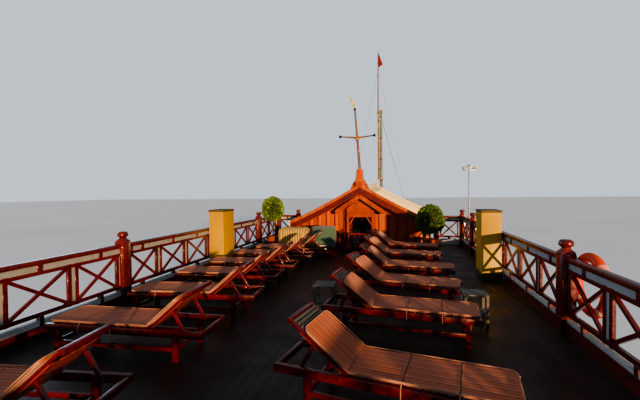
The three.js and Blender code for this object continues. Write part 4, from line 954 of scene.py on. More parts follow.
class JUNK_OT_deck_rails(bpy.types.Operator):
    """Sun deck railings: newels, moulded handrail, crossed braces, blocks and pale boards"""
    bl_idname = "junk.deck_rails"
    bl_label = "Sun deck railings"
    # Thickness of the rails, and of the pale boards to either side of their middle
    GAUGE, THIN = 0.04, 0.009
    # Heights of the pale boards, under the handrail and upright between the panels
    TOP_BOARD, UPRIGHT_BOARD = (0.815, 0.925), (0.28, 0.79)
    # Height of the toe boards
    TOE_BOARD = {"port": 0.13, "starboard": 0.168}

    def execute(self, context):
        newel = self.newel()
        for side_name, side in SIDES:
            y = side * RAIL_Y
            corner = (RAIL_FORE, side * RAIL_INNER)
            self.frames(side_name, y, corner)
            begin()
            run([(RAIL_AFT, y, HANDRAIL), (RAIL_FORE, y, HANDRAIL)], "x", 0.088, 0.068)
            run([(RAIL_FORE, y, HANDRAIL), (*corner, HANDRAIL)], "y", 0.088, 0.067)
            end(f"handrail_{side_name}", "rail_varnish", 0.016, 3)
            self.pale_boards(side_name, y, corner)
            begin()
            for x0, x1, _ in SPANS:
                for face in (y - 0.036, y + 0.036):
                    block(x0 + AT_GAP, x1 - AT_GAP, face - 0.006, face + 0.006,
                          SUN_DECK + LIFT, SUN_DECK + self.TOE_BOARD[side_name])
            end(f"toe_boards_{side_name}", "rail_varnish", 0.003)
            for n, spot in enumerate([(x, y) for x in NEWELS] + [corner]):
                self.mount(newel, f"newel_{side_name}_{n + 1}", *spot)
        self.aft()
        self.mount(newel, "newel_aft", RAIL_AFT, 0)
        bpy.data.objects.remove(newel)
        return {"FINISHED"}

    def frames(self, side_name, y, corner):
        begin()
        for x0, x1, panels in SPANS:
            step = (x1 - x0) / panels
            for n in range(panels):
                start, stop = (x0 + n * step, y), (x0 + (n + 1) * step, y)
                first = AT_NEWEL if n == 0 and x0 in NEWELS else AT_GAP
                last = AT_NEWEL if n == panels - 1 and x1 in NEWELS else AT_GAP
                rail_panel(start, stop, SUN_DECK, DECK_RAIL, self.GAUGE, first, last)
        rail_panel((RAIL_FORE, y), corner, SUN_DECK, DECK_RAIL, self.GAUGE, AT_NEWEL, AT_NEWEL)
        end(f"deck_rail_{side_name}_frames", "rail_varnish", 0.003, replaces=f"deck_rail_{side_name}",
            slot="dark_varnish")

    def board(self, x0, x1, y0, y1, heights):
        block(x0, x1, y0, y1, SUN_DECK + heights[0], SUN_DECK + heights[1])

    def pale_boards(self, side_name, y, corner):
        y0, y1 = y - self.THIN, y + self.THIN
        begin()
        for x0, x1, panels in SPANS:
            self.board(x0, x1, y0, y1, self.TOP_BOARD)
            step = (x1 - x0) / panels
            for n in range(1, panels):
                self.board(x0 + n * step - 0.033, x0 + n * step + 0.033, y0, y1, self.UPRIGHT_BOARD)
            for x, way in ((x0, 1), (x1, -1)):
                if x in NEWELS:
                    self.board(x + way * 0.08, x + way * 0.118, y0, y1, self.UPRIGHT_BOARD)
        self.board(RAIL_FORE - self.THIN, RAIL_FORE + self.THIN, corner[1], y, self.TOP_BOARD)
        end(f"pale_boards_{side_name}", "pale_paint", 0.002)

    def newel(self):
        """Square newel with a chamfered shoulder, a neck and a low rounded cap."""
        begin()
        turned([(0.118, 0.995), (0.114, 1.03), (0.06, 1.072), (0.056, 1.088)], 0, 0, 0, 4)
        bpy.ops.mesh.select_all(action="SELECT")
        bpy.ops.transform.rotate(value=math.pi / 4, orient_axis="Z", center_override=(0, 0, 0))
        post(0, 0, 0.086, 0.086, LIFT, 1.0)
        turned([(0.05, 1.08), (0.056, 1.094), (0.08, 1.108), (0.0855, 1.135), (0.08, 1.165), (0.055, 1.186)],
               0, 0, 0, 24)
        return end("newel_pattern", "rail_varnish", 0.006, 2)

    def mount(self, newel, name, x, y):
        made = copy_of(newel, name, Matrix.Translation((x, y, SUN_DECK)))
        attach(made, "root")

    def aft(self):
        reach = RAIL_Y - AT_GAP
        begin()
        for n in range(6):
            y0, y1 = -reach + n * reach / 3, -reach + (n + 1) * reach / 3
            rail_panel((RAIL_AFT, y0), (RAIL_AFT, y1), SUN_DECK, DECK_RAIL, self.GAUGE)
        end("deck_rail_aft_frames", "rail_varnish", 0.003, replaces="deck_rail_aft", slot="dark_varnish")
        begin()
        run([(RAIL_AFT, -reach, HANDRAIL), (RAIL_AFT, reach, HANDRAIL)], "y", 0.086, 0.066)
        end("handrail_aft", "rail_varnish", 0.016, 3)
        begin()
        self.board(RAIL_AFT - self.THIN, RAIL_AFT + self.THIN, -reach, reach, self.TOP_BOARD)
        end("pale_boards_aft", "pale_paint", 0.002)


class JUNK_OT_verandas(bpy.types.Operator):
    """Upper deck posts, brackets and braced railings"""
    bl_idname = "junk.verandas"
    bl_label = "Verandas"
    POSTS, BOW_POSTS = (-14.1, -11.1, -8.28, -5.46, -2.56, 0.35, 2.15), (4.3, 6.7, 9.1)
    # Length of a bay, thickness of its rails, height at which the posts end below the sun deck, and how far
    # short of the centreline the rails of a side stop
    BAY, GAUGE, UNDER, GAP = 0.97, 0.038, 5.655, 0.0553

    def execute(self, context):
        for side_name, side in SIDES:
            line = [(x, side * self.half(x)) for x in self.POSTS + self.BOW_POSTS]
            path = [(line[0][0], side * self.GAP), *line, (line[-1][0], side * self.GAP)]
            begin()
            for a, b in zip(path, path[1:]):
                a, b = Vector(a), Vector(b)
                panels = max(1, round((b - a).length / self.BAY))
                for n in range(panels):
                    p, q = a.lerp(b, n / panels), a.lerp(b, (n + 1) / panels)
                    rail_panel(p, q, UPPER_DECK, VERANDA_RAIL, self.GAUGE)
                beam((*a, UPPER_DECK + 0.965), (*b, UPPER_DECK + 0.965), 0.088, 0.068)
            for x, y in line:
                covered = x in self.POSTS
                post(x, y, 0.055, 0.055, UPPER_DECK + LIFT, self.UNDER if covered else UPPER_DECK + 1.06)
                post(x, y, 0.065, 0.065, UPPER_DECK + LIFT, UPPER_DECK + 0.14)
                if covered:
                    post(x, y, 0.07, 0.065, 5.6, self.UNDER)
                    for way in (-1, 1):
                        beam((x + way * 0.05, y, 5.3), (x + way * 0.34, y, 5.62), 0.05, 0.06)
                else:
                    knob((x, y, UPPER_DECK + 1.075), 0.06, 12, (1, 1, 0.6))
            end(f"veranda_{side_name}_frames", "rail_varnish", 0.004, replaces=f"veranda_{side_name}",
                slot="dark_varnish")
        return {"FINISHED"}

    def half(self, x):
        """Half breadth of the railing line, from the edge of the upper deck."""
        edge = max(hit("upper_deck", (x, 6, UPPER_DECK - 0.02), (0, -1, 0)).y, 0)
        return min(3.38, edge - 0.09)


class JUNK_OT_roof(bpy.types.Operator):
    """Cream roof with battens, gable boards, barge boards and signal mast"""
    bl_idname = "junk.roof"
    bl_label = "Roof and gable"
    # Flat of the ridge, and eave of the roof, as half breadths
    RIDGE, EAVE = 0.09, 2.28
    # Mouldings of a gable: way out from the board, width, lift off the roof, height
    BOARDS = {
        "barge_boards": ("rail_varnish", ((0.0, 0.085, -0.11, 0.29),)),
        "barge_mouldings": ("varnished_boards", ((0.03, 0.05, -0.02, 0.1), (0.02, 0.04, -0.235, 0.05))),
    }

    def execute(self, context):
        dressed("house_roof", "roof_paint", 0.006)
        dressed("gable_wall", "varnished_boards", 0.004)
        self.signal_mast()
        self.battens()
        self.barge_boards()
        self.gable_trim()
        return {"FINISHED"}

    def signal_mast(self):
        """Orange pedestal and hub, bleached pole and yard, dark collar and tips, pale leaf vane."""
        finishes = ("varnished_boards", "pole_varnish", "black_iron", "vane_copper")
        mast = dressed("signal_mast", finishes, 0.004, 2)
        foot, lean = 8.33, 0.15 / 2.02
        pedestal, hub_low, hub_high, collar, leaf = 8.375, 9.32, 9.46, 10.28, 10.36
        for face in mast.data.polygons:
            x, y, z = face.center
            aside = abs(y - 0.03 - lean * (z - foot))
            if z > leaf and abs(x - 1.1) < 0.02:
                face.material_index = 3
            elif z > collar or aside > 0.5 and z > 9:
                face.material_index = 2
            elif z > pedestal and not (hub_low < z < hub_high and aside < 0.09):
                face.material_index = 1

    def slope(self, x, lift, reach, count=7):
        """Points from the port eave over the ridge to the starboard eave, a lift above the roof."""
        points = []
        for n in range(2 * count + 1):
            y = reach * (1 - 2 * n / (2 * count))
            flat = math.copysign(max(abs(y), self.RIDGE), y) if y else self.RIDGE
            points.append((x, y, roof_top(x, flat) + lift))
        points[count] = (x, 0, roof_top(x, self.RIDGE) + lift + 0.03)
        return points

    def battens(self):
        high = sizes().batten
        begin()
        for n in range(12):
            for side in (1, -1):
                points = self.slope(1.25 + n * 0.6, high / 2 - 0.004, side * self.EAVE)
                run([p for p in points if p[1] * side > self.RIDGE], "y", 0.05, high)
        end("roof_battens", "roof_paint", 0.004)

    def barge_boards(self):
        """Stepped boards along each gable, their upper moulding in orange, and a board along both eaves."""
        for name, (finish, steps) in self.BOARDS.items():
            begin()
            for x, inner, way in ((0.705, 0.76, -1), (8.495, 8.42, 1)):
                for shift, wide, lift, high in steps:
                    run([(x + way * shift, y, z) for _, y, z in self.slope(inner, lift, 2.31)], "y", wide, high)
            if name == "barge_mouldings":
                block(0.64, 0.72, -0.1, 0.1, 7.79, 7.955)
            end(name, finish, 0.006)
        begin()
        for side in (1, -1):
            places = (0.8, 2.0, 3.2, 4.4, 5.6, 6.8, 8.3)
            run([(x, side * 2.34, roof_top(x, side * self.EAVE) - 0.075) for x in places], "x", 0.035, 0.12)
        end("eave_boards", "red_varnish", 0.005)

    def gable_trim(self):
        """Cover battens on the gable boards, a door casing and a sill board."""
        face = 1.05
        begin()
        for n in range(-7, 8):
            y = n * 0.29
            top = roof_top(1.0, y) - 0.13
            if abs(y) > 0.4 and top > 5.9:
                block(face - 0.016, face + 0.002, y - 0.02, y + 0.02, 5.81, top)
        for side in (1, -1):
            block(face - 0.03, face + 0.01, side * 0.285, side * 0.365, SUN_DECK, 6.86)
        block(face - 0.034, face + 0.01, -0.375, 0.375, 6.79, 6.88)
        block(face - 0.03, face + 0.004, -2.12, 2.12, SUN_DECK + 0.001, 5.93)
        block(face - 0.028, face + 0.004, -0.36, 0.36, 6.88, 7.1)
        end("gable_trim", "red_varnish", 0.004)


class JUNK_OT_companion(bpy.types.Operator):
    """Porch, stair and low fence of the companionway"""
    bl_idname = "junk.companion"
    bl_label = "Companionway"

    def execute(self, context):
        dressed("companion_porch", "porch_varnish", 0.005)
        dressed("companion_stair", "red_varnish", 0.004)
        dressed("companion_fence", "red_varnish", 0.006, 2)
        begin()
        for side in (1, -1):
            beam((0.63, 0, 7.485), (0.63, side * 0.77, 6.965), 0.04, 0.13)
            for n in range(4):
                x = 0.7 + n * 0.1
                beam((x, side * 0.03, 7.478), (x, side * 0.765, 6.982), 0.022, 0.012)
        beam((0.61, 0, 7.5), (1.045, 0, 7.5), 0.07, 0.06)
        end("porch_roof_trim", "porch_varnish", 0.004)
        begin()
        for side in (1, -1):
            y = side * 0.405
            post(0.88, y, 0.05, 0.05, SUN_DECK + 0.001, 5.92)
            post(0.88, y, 0.05, 0.05, 6.72, 6.78)
            beam((0.88, y, 6.5), (0.88, y - side * 0.2, 6.8), 0.04, 0.04)
        end("porch_post_trim", "porch_varnish", 0.005)
        return {"FINISHED"}


class JUNK_OT_trunks(bpy.types.Operator):
    """Mustard vent trunks with weathered lids and feet"""
    bl_idname = "junk.trunks"
    bl_label = "Vent trunks"
    # Where the lid begins and the foot ends, and the heights of the seams
    LID, FOOT, SEAMS = 1.37, 0.155, (0.2, 1.34)

    def execute(self, context):
        x0, x1 = TRUNK_X
        for side_name, side in SIDES:
            trunk = dressed(f"vent_trunk_{side_name}", ("trunk_paint", "lid_paint"), 0.012, 3)
            for face in trunk.data.polygons:
                face.material_index = int(not self.FOOT <= face.center.z - SUN_DECK <= self.LID)
            begin()
            y0, y1 = sorted(side * y for y in TRUNK_Y)
            for z in self.SEAMS:
                level = (SUN_DECK + z - 0.02, SUN_DECK + z)
                for x in (x0, x1):
                    block(x - 0.004, x + 0.004, y0 + 0.03, y1 - 0.03, *level)
                for y in (y0, y1):
                    block(x0 + 0.03, x1 - 0.03, y - 0.004, y + 0.004, *level)
            end(f"trunk_seams_{side_name}", "trunk_paint", 0.002)
        return {"FINISHED"}


class JUNK_OT_rigging(bpy.types.Operator):
    """Masts with bands, main stays, topmast stays, flag halyard and the limp flag"""
    bl_idname = "junk.rigging"
    bl_label = "Masts and rigging"
    MAST, TOPMAST = (11.5, -0.13), (11.5, 0.025)

    def execute(self, context):
        dressed("foremast", "mast_paint", 0.004)
        dressed("topmast", "mast_paint", 0.003)
        for node in ("forestay", "shroud_port", "shroud_starboard"):
            dressed(node, "galvanised", 0)
        begin()
        for z in (3.4, 5.2, 7.0, 8.3, 9.6, 10.9, 12.2):
            # The mast tapers by 45 mm over its length, and the bands stand 6 mm proud
            radius = 0.12 - 0.045 * ((z - FORE_DECK) / 10.65) + 0.006
            pole((*self.MAST, z), (*self.MAST, z + 0.05), radius, sides=20)
        for z in (9.0, 10.6, 12.0):
            pole((*self.TOPMAST, z), (*self.TOPMAST, z + 0.04), 0.06, sides=16)
        end("mast_bands", "black_iron", 0.003)
        x, top = 10.75, Vector((*self.TOPMAST, 15.05))
        for side_name, side in SIDES:
            foot = Vector((x, side * (hull_side(x, 2.7, side) - 0.06), 2.9))
            line = [foot.lerp(top, n / 12) for n in range(13)]
            cord_mesh(line, 0.009, f"topmast_stay_{side_name}", "galvanised")
        line = [(11.36, 0.07, 3.2), (11.36, 0.07, 12.6), (11.44, 0.05, 15.9)]
        cord_mesh(line, 0.005, "flag_halyard", "rope_fibre")
        self.flag()
        return {"FINISHED"}

    def flag(self):
        """The limp flag: a plain sheet laced to the staff, dropped by its own weight."""
        hoist, fly, top, staff_y = 0.53, 0.8, 16.17, self.TOPMAST[1] - 0.0165
        pick()
        bpy.ops.mesh.primitive_grid_add(x_subdivisions=40, y_subdivisions=26, size=1, location=(0, 0, 0))
        cloth = bpy.context.object
        cloth.name = cloth.data.name = "red_flag"
        staff = cloth.vertex_groups.new(name="staff")
        for vertex in cloth.data.vertices:
            u, v = vertex.co.x + 0.5, vertex.co.y + 0.5
            wave = 0.012 * math.sin(u * 17 + v * 2) * min(1, u * 5)
            vertex.co = (self.TOPMAST[0] + wave, staff_y - u * fly, top - (1 - v) * hoist)
            if u < 0.001:
                staff.add([vertex.index], 1.0, "REPLACE")
        places = settled(cloth, "staff", 70, quality=6, mass=0.1, air_damping=4, tension_stiffness=20,
                         compression_stiffness=20, bending_stiffness=0.3)
        for vertex, place in zip(cloth.data.vertices, places):
            vertex.co = place
        complete(cloth, "flag_cloth", 0, replaces="flag", slot="red_cloth")
        modify(cloth, "SOLIDIFY", thickness=0.002, offset=0)


class JUNK_OT_deck_gear(bpy.types.Operator):
    """Lamp post, lifebuoy, windlass, helm, chest, round table, side tables and potted shrubs"""
    bl_idname = "junk.deck_gear"
    bl_label = "Deck gear"
    # Shrubs: y of the pot, half breadth and half height of the leaves, height of their middle
    SHRUBS = {"port": (2.75, 0.38, 0.42, 1.29), "starboard": (-2.105, 0.44, 0.465, 0.985)}
    SIDE_TABLES = {"port": (-5.23, -0.13), "starboard": (-5.3, -2.25)}
    # The table's cover below its flat top: radius and drop of each row
    DRAPE = (
        (0.345, 0.004), (0.36, 0.02), (0.363, 0.09), (0.366, 0.12), (0.366, 0.13), (0.364, 0.13), (0.36, 0.12))

    def execute(self, context):
        dressed("lamp_post", "galvanised", 0.003, 2)
        begin()
        for reach in (-0.15, 0.15):
            turned([(0.025, 8.27), (0.05, 8.29), (0.055, 8.335), (0.03, 8.36)], 0.94, -3.3 + reach, 0, 16)
        end("lamp_heads", "pale_paint", 0.002)
        self.lifebuoy()
        dressed("windlass", "wale_varnish", 0.006, 2)
        dressed("helm", "red_varnish", 0.003, 2)
        self.chest()
        self.table_cover()
        for side_name, spot in self.SIDE_TABLES.items():
            self.side_table(side_name, *spot)
        for side_name, row in self.SHRUBS.items():
            self.shrub(side_name, *row)
        return {"FINISHED"}

    def lifebuoy(self):
        """A foam ring with a band of five tapes at each quarter."""
        x, y, z, radius = -5.75, -3.4443, SUN_DECK + 0.69, 0.322
        begin()
        ring((x, y, z), radius, 0.0575, (math.pi / 2, 0, 0), 64, 20)
        end("lifebuoy_ring", "buoy_skin", 0, replaces="lifebuoy", slot="orange_foam", smooth=3.0)
        begin()
        for n in range(4):
            for tape in range(-2, 3):
                a = math.pi / 4 + n * math.pi / 2 + tape * 0.035
                ring((x + radius * math.cos(a), y, z + radius * math.sin(a)), 0.0585, 0.0022, (0, -a, 0), 20, 6)
        end("lifebuoy_bands", "buoy_band", 0, smooth=3.0)

    def chest(self):
        """Straw chest: a board box under a domed cover whose plaits stand in upright ribs."""
        x, y, z, ribs, long = -0.46, 1.82, SUN_DECK + 0.4, 12, 0.9
        near = y - long / 2
        begin()
        block(-0.755, -0.165, near, y + long / 2, SUN_DECK + 0.001, SUN_DECK + 0.79)
        chest = end("rattan_chest_cover", "straw", 0.15, 6, replaces="rattan_chest", slot="straw_weave", smooth=0)
        cut((0, 1, 0), [near + n * long / (6 * ribs) for n in range(1, 6 * ribs)])
        for vertex in chest.data.vertices:
            crest = abs(math.sin(math.pi * ribs * (vertex.co.y - y + long / 2) / long)) ** 0.6
            vertex.co.x = x + (vertex.co.x - x) * (0.955 + 0.045 * crest)
            vertex.co.z = z + (vertex.co.z - z) * (0.965 + 0.035 * crest if vertex.co.z > z else 1)
        complete(chest, "straw", smooth=1.2)

    def table_cover(self):
        """Fitted cloth over a round table: a disc, and a band that falls in shallow folds."""
        x, y, radius = -0.38, 0.94, 0.3
        middle = Vector((x, y))
        pick()
        bpy.ops.mesh.primitive_circle_add(
            vertices=96, radius=radius, fill_type="NGON", location=(x, y, SUN_DECK + 0.808))
        mode("EDIT")
        bpy.ops.mesh.select_all(action="SELECT")
        for step in (0.13, 0.0):
            bpy.ops.mesh.inset(thickness=step, depth=0)
        mode("OBJECT")
        cloth = bpy.context.object
        cloth.name = cloth.data.name = "table_cover"
        bpy.ops.object.transform_apply(location=True)
        rim = [v.index for v in cloth.data.vertices if (v.co.xy - middle).length > 0.29]
        mode("EDIT")
        bpy.ops.mesh.select_all(action="DESELECT")
        mode("OBJECT")
        for edge in cloth.data.edges:
            edge.select = all(v in rim for v in edge.vertices)
        mode("EDIT")
        bpy.ops.mesh.select_mode(type="EDGE")
        for next_radius, drop in self.DRAPE:
            bpy.ops.mesh.extrude_edges_move(TRANSFORM_OT_translate={"value": (0, 0, -drop)})
            grow = next_radius / radius
            bpy.ops.transform.resize(value=(grow, grow, 1), center_override=(x, y, 0))
            radius = next_radius
        bpy.ops.mesh.select_mode(type="VERT")
        mode("OBJECT")
        for vertex in cloth.data.vertices:
            offset = vertex.co.xy - middle
            fall = (SUN_DECK + 0.8 - vertex.co.z) / 0.62
            if fall > 0:
                angle = math.atan2(offset.y, offset.x)
                fold = 0.016 * fall * (math.sin(angle * 11) + 0.5 * math.sin(angle * 5 + 1))
                vertex.co.xy = middle + offset * (1 + fold / offset.length - 0.03 * fall)
        complete(cloth, "teal_canvas", 0, replaces="covered_table", slot="teal_cloth", smooth=3.0)
        modify(cloth, "SOLIDIFY", thickness=0.004, offset=-1)
        begin()
        for low, high, r0, r1, sides in ((LIFT, 0.79, 0.05, 0.05, 16), (LIFT, 0.04, 0.26, 0.24, 32),
                                         (0.77, 0.8, 0.34, 0.34, 48)):
            pole((x, y, SUN_DECK + low), (x, y, SUN_DECK + high), r0, r1, sides)
        end("round_table_stand", "red_varnish", 0.005)

    def side_table(self, side_name, x, y):
        """Slatted top and shelf on four legs."""
        z = SUN_DECK
        begin()
        for n in range(6):
            u = -0.16 + n * 0.064
            block(x + u, x + u + 0.052 if n < 5 else x + 0.16, y - 0.16, y + 0.16, z + 0.4, z + 0.42)
        for a in (-0.13, 0.13):
            block(x - 0.15, x + 0.15, y + a - 0.012, y + a + 0.012, z + 0.36, z + 0.4)
            for b in (-0.14, 0.14):
                post(x + a, y + b, 0.018, 0.018, z + LIFT, z + 0.395)
        for n in range(5):
            u = -0.14 + n * 0.06
            block(x + u, x + u + 0.045, y - 0.145, y + 0.145, z + 0.15, z + 0.168)
        end(f"side_table_{side_name}_slats", "slats", 0.003, replaces=f"side_table_{side_name}", slot="grey_slats")

    def shrub(self, side_name, y, across, high, centre):
        """Clipped shrub: a dark leaf mass with folded leaves all over it, a trunk and a clay pot."""
        x = 0.23
        middle = Vector((x, y, SUN_DECK + centre))
        draw = random.Random(len(side_name))

        def skin(way):
            """The shrub's uneven outline, a way from its middle."""
            swell = 0.87 + 0.16 * noise.noise(way * 1.7 + middle) + 0.1 * noise.noise(way * 4.5 + middle)
            return Vector((way.x * across, way.y * across, way.z * high)) * swell
        begin()
        bpy.ops.mesh.primitive_ico_sphere_add(subdivisions=5, radius=1, location=middle)
        core = end(f"shrub_core_{side_name}", "foliage_core", 0, smooth=3.0)
        for vertex in core.data.vertices:
            vertex.co = middle + skin(vertex.co - middle) * draw.uniform(0.82, 0.94)
        self.leaves(side_name, middle, skin, draw)
        begin()
        turned([(0.15, LIFT), (0.19, 0.2), (0.213, 0.37), (0.233, 0.375), (0.236, 0.425), (0.215, 0.43),
                (0.2, 0.4), (0.1, 0.395)], x, y, SUN_DECK, 40)
        end(f"clay_pot_{side_name}", "clay", 0.003, replaces=f"potted_shrub_{side_name}", slot="foliage")
        begin()
        top = SUN_DECK + centre - high * 0.6
        pole((x, y, SUN_DECK + 0.38), (x + 0.01, y, top), 0.026, 0.02)
        pole((x, y + 0.01, SUN_DECK + 0.6), (x - 0.05, y + 0.09, top), 0.015, 0.01)
        end(f"shrub_trunk_{side_name}", "bark", 0.002)

    def leaves(self, side_name, middle, skin, draw):
        """Folded leaves: one leaf is modelled and then set all over the shrub."""
        leaf = [Vector(p) for p in ((0, 0, 0), (0.5, 0.3, 0.1), (1, 0, 0.02), (0.5, -0.3, 0.1), (0.5, 0, 0))]
        folds = [(0, 4, 1), (4, 2, 1), (0, 3, 4), (3, 2, 4)]
        points, faces = [], []
        for _ in range(3600):
            way = Vector((draw.gauss(0, 1), draw.gauss(0, 1), draw.gauss(0, 1))).normalized()
            root = middle + skin(way) * draw.uniform(0.82, 1.0)
            stray = Vector((draw.uniform(-1, 1), draw.uniform(-1, 1), draw.uniform(-0.6, 1)))
            turn = (way + stray * 0.9).normalized().to_track_quat("X", "Z").to_matrix()
            size = draw.uniform(0.045, 0.08)
            roll = Matrix.Rotation(draw.uniform(0, 6.28), 3, "X")
            faces += [tuple(len(points) + n for n in face) for face in folds]
            points += [root + turn @ (roll @ (p * size)) for p in leaf]
        mesh = bpy.data.meshes.new(f"shrub_leaves_{side_name}")
        mesh.from_pydata(points, [], faces)
        made = bpy.data.objects.new(mesh.name, mesh)
        bpy.context.scene.collection.objects.link(made)
        complete(made, "leaf_green", 0, smooth=0)


class Lounger:
    """The lounger of one side, its knee line at the origin on the deck and its foot towards +X."""
    # The frame: length of seat and back from the knee line, half width, top of the seat, place of the rear legs
    SEAT, BACK, HALF, TOP, REAR = 1.29, 0.65, 0.29, 0.345, 0.335
    # The pad: width, thickness, radius of its corners, and its cross seams as distances from the foot
    WIDE, THICK, ROUND, SEAMS = 0.51, 0.037, 0.06, (0.0, 0.41, 0.82, 1.26, 1.75)
    # Rows of the pad between two seams
    ROWS = 14

    def __init__(self, recline):
        self.c, self.s = math.cos(recline), math.sin(recline)

    def up(self, distance, y=0.0, lift=0.0):
        """A point on the sloping back, a distance up it from the knee line, with a lift off it."""
        return Vector((-distance * self.c + lift * self.s, y, self.TOP + distance * self.s + lift * self.c))

    def frame(self):
        seat, half, top, rear = self.SEAT, self.HALF, self.TOP, -self.REAR
        fore = seat - 0.152
        begin()
        for side in (1, -1):
            y = side * (half - 0.022)
            block(-self.BACK, seat, y - 0.022, y + 0.022, top - 0.078, top - 0.005)
            low, high = (0.03, 0.0205) if side > 0 else (0.0205, 0.03)
            for x in (rear, fore):
                block(x - 0.0325, x + 0.0325, y - low, y + high, LIFT, top - 0.01)
            block(0.03 + rear, seat - 0.18, y - 0.016, y + 0.016, 0.115, 0.16)
            inner = side * (half - 0.064)
            beam(self.up(0.0, inner, -0.012), self.up(self.BACK, inner, -0.012), 0.034, 0.028)
            beam(self.up(0.34, inner, -0.04), (-0.43, inner, 0.29), 0.03, 0.034)
            pole((-0.43, inner - side * 0.03, 0.29), (-0.43, side * (half - 0.03), 0.29), 0.008)
        for x in (rear, fore):
            post(x, 0, 0.02, half - 0.05, 0.12, 0.165)
        for x in (seat - 0.03, 0.02 - self.BACK):
            post(x, 0, 0.02, half - 0.04, top - 0.074, top - 0.012)
        for n in range(11):
            post(0.06 + n * 0.112, 0, 0.035, half - 0.045, top - 0.02, top)
        head = self.BACK - 0.02
        beam(self.up(head, -half + 0.05, -0.02), self.up(head, half - 0.05, -0.02), 0.045, 0.045)
        return end("lounger_frame_pattern", "lounger_varnish", 0.005, 2)

    def backing(self):
        """Boards across the underside of the raised back."""
        begin()
        for n in range(5):
            y = -0.192 + n * 0.096
            beam(self.up(0.03, y, -0.0305), self.up(self.BACK - 0.15, y, -0.0305), 0.095, 0.009)
        made = end("lounger_back_pattern", "back_varnish", 0.003)
        chart(made, "board", lambda vertex: (vertex.co.z, vertex.co.y))
        return made

    def head_slats(self):
        begin()
        half = self.HALF - 0.082
        for distance in (0.512, 0.553, 0.594):
            beam(self.up(distance, -half), self.up(distance, half), 0.014, 0.028)
        # The slats' grey is a painted reflection of the sky in their gloss
        return end("lounger_slats_pattern", "head_paint", 0.003)

    def pad_path(self, u):
        """Where the pad's underside runs: foot to knee along the seat, then up the back."""
        seat = self.SEAMS[3]
        if u <= seat:
            return Vector((seat - u + 0.005, 0, self.TOP)), Vector((0, 0, 1))
        rise = u - seat
        return Vector((0.005 - rise * self.c, 0, self.TOP + 0.008 + rise * self.s)), Vector((self.s, 0, self.c))

    def along(self, share):
        """Distance from the foot, for a share of the pad's length: the rows crowd towards the seams."""
        row = round((share + 0.5) * 4 * self.ROWS)
        part = min(row // self.ROWS, 3)
        start, stop = self.SEAMS[part:part + 2]
        return start + (stop - start) * (1 - math.cos(math.pi * (row - self.ROWS * part) / self.ROWS)) / 2

    def half_wide(self, u):
        """Half the pad's width, a distance u from its foot: both ends have rounded corners."""
        nook = max(0.0, self.ROUND - min(u, self.SEAMS[-1] - u))
        return self.WIDE / 2 - self.ROUND + math.sqrt(self.ROUND ** 2 - nook ** 2)

    def pad(self):
        """A sewn pad: cloth blown up between its cross seams, so that each section is crowned."""
        pick()
        bpy.ops.mesh.primitive_cube_add(size=1, location=(0, 0, 0))
        pad = bpy.context.object
        pad.name = pad.data.name = "lounger_pad_pattern"
        for axis, count in (((0, 0, 1), 2), ((1, 0, 0), 4 * self.ROWS), ((0, 1, 0), 18)):
            cut(axis, [n / count - 0.5 for n in range(1, count)])
        chart(pad, "cloth", lambda vertex: (self.along(vertex.co.x), vertex.co.y * self.WIDE))
        group = pad.vertex_groups.new(name="sewn")
        for vertex in pad.data.vertices:
            place = vertex.co.copy()
            u = self.along(place.x)
            seam = min(abs(u - s) for s in self.SEAMS)
            rim = abs(abs(place.y) - 0.5) < 1e-4 or seam < 0.02
            near = max(0.0, 1 - seam / 0.03)
            side = max(0.0, (abs(place.y) - 0.42) / 0.08)
            pinch = 1 - 0.75 * max(near, 0.35 * side)
            spot, normal = self.pad_path(u)
            out = normal * (self.THICK * (0.5 + place.z * pinch) + 0.002)
            vertex.co = spot + out + Vector((0, 2 * place.y * self.half_wide(u), 0))
            if rim and (abs(place.z) < 0.1 or seam < 0.012) or place.z < -0.4:
                group.add([vertex.index], 1.0, "REPLACE")
        self.inflate(pad)
        complete(pad, ("striped_cloth", "pad_side_painted_sunlight"), 0, smooth=3.0)
        # Faces that turn sideways take the paler side cloth: painted sunlight on the sides of the pad
        for face in pad.data.polygons:
            face.material_index = int(abs(face.normal.y) > 0.7)
        modify(pad, "SUBSURF", levels=1, render_levels=1)
        return pad

    def inflate(self, pad):
        """Pressure in the sewn cover; no point moves further than the puff allows."""
        places = settled(pad, "sewn", 20, 0, quality=6, mass=0.3, tension_stiffness=12, compression_stiffness=12,
                         use_pressure=True, uniform_pressure_force=4, shrink_min=-0.02)
        limit = sizes().pad_puff
        for vertex, place in zip(pad.data.vertices, places):
            move = place - vertex.co
            vertex.co += move if move.length <= limit else move * (limit / move.length)

    def piping(self):
        """Piping round the top edge of the pad, with bands that hold it to the frame at its seams."""
        rims = {1: [], -1: []}
        for n in range(81):
            u = self.SEAMS[-1] * (1 - math.cos(math.pi * n / 80)) / 2
            spot, normal = self.pad_path(u)
            out = normal * (self.THICK * 0.84)
            for side, rim in rims.items():
                rim.append(spot + out + Vector((0, side * (self.half_wide(u) + 0.001), 0)))
        lines = [(rims[1] + rims[-1][::-1], True)]
        hook = ((0.25, 0.018), (0.275, 0.006), (0.293, -0.02), (0.293, -0.085), (0.27, -0.085))
        for seam in self.SEAMS[1:3]:
            for side in (1, -1):
                lines.append(([Vector((self.SEAMS[3] - seam, side * y, self.TOP + z)) for y, z in hook], False))
        tubes = [cord_mesh(points, 0.0045, f"piping_{n}", "piping_cloth", closed, 1)
                 for n, (points, closed) in enumerate(lines)]
        pick(tubes[0])
        for tube in tubes:
            tube.select_set(True)
        bpy.ops.object.join()
        return bpy.context.object


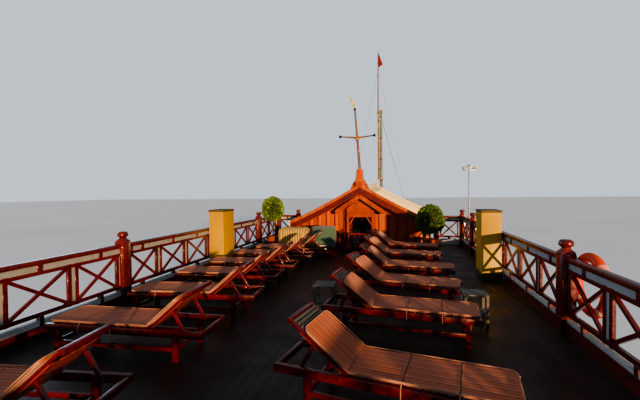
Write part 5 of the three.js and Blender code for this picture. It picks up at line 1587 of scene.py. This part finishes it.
class JUNK_OT_loungers(bpy.types.Operator):
    """Sun loungers: slatted frames, boarded backs and striped pads"""
    bl_idname = "junk.loungers"
    bl_label = "Sun loungers"

    def execute(self, context):
        for side_name, side in SIDES:
            pattern = Lounger(RECLINE[side_name])
            parts = {"frame": pattern.frame(), "back": pattern.backing(), "slats": pattern.head_slats(),
                     "piping": pattern.piping(), "pad": pattern.pad()}
            spots = [spot[1:] for spot in LOUNGERS if spot[0] == side]
            for number, (x, y, turn) in enumerate(spots, 1):
                node = f"lounger_{side_name}_{number}"
                angle = side * math.radians(90 + turn)
                place = Matrix.Translation((x, y, SUN_DECK)) @ Matrix.Rotation(angle, 4, "Z")
                for part, original in parts.items():
                    made = copy_of(original, f"{node}_{part}", place)
                    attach(made, "root")
                    if part == "frame":
                        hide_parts(node)
            for original in parts.values():
                bpy.data.objects.remove(original)
        return {"FINISHED"}


class JUNK_PT_panel(bpy.types.Panel):
    bl_idname = "JUNK_PT_panel"
    bl_label = "Sightseeing junk"
    bl_space_type = "VIEW_3D"
    bl_region_type = "UI"
    bl_category = "Junk"

    def draw(self, context):
        for group in (context.scene.junk_colours, context.scene.junk_sizes):
            for name in group.__annotations__:
                self.layout.prop(group, name)
        for operator in OPERATORS:
            self.layout.operator(operator.bl_idname)


OPERATORS = (
    JUNK_OT_stage, JUNK_OT_hull, JUNK_OT_houses, JUNK_OT_decks, JUNK_OT_deck_rails, JUNK_OT_verandas, JUNK_OT_roof,
    JUNK_OT_companion, JUNK_OT_trunks, JUNK_OT_rigging, JUNK_OT_deck_gear, JUNK_OT_loungers,
)
CLASSES = (JunkColours, JunkSizes, *OPERATORS, JUNK_PT_panel)


def register():
    for item in CLASSES:
        bpy.utils.register_class(item)
    bpy.types.Scene.junk_colours = bpy.props.PointerProperty(type=JunkColours)
    bpy.types.Scene.junk_sizes = bpy.props.PointerProperty(type=JunkSizes)


def unregister():
    del bpy.types.Scene.junk_sizes
    del bpy.types.Scene.junk_colours
    for item in reversed(CLASSES):
        bpy.utils.unregister_class(item)


def main():
    register()
    for operator in OPERATORS:
        group, name = operator.bl_idname.split(".")
        getattr(getattr(bpy.ops, group), name)()


if __name__ == "__main__":
    main()
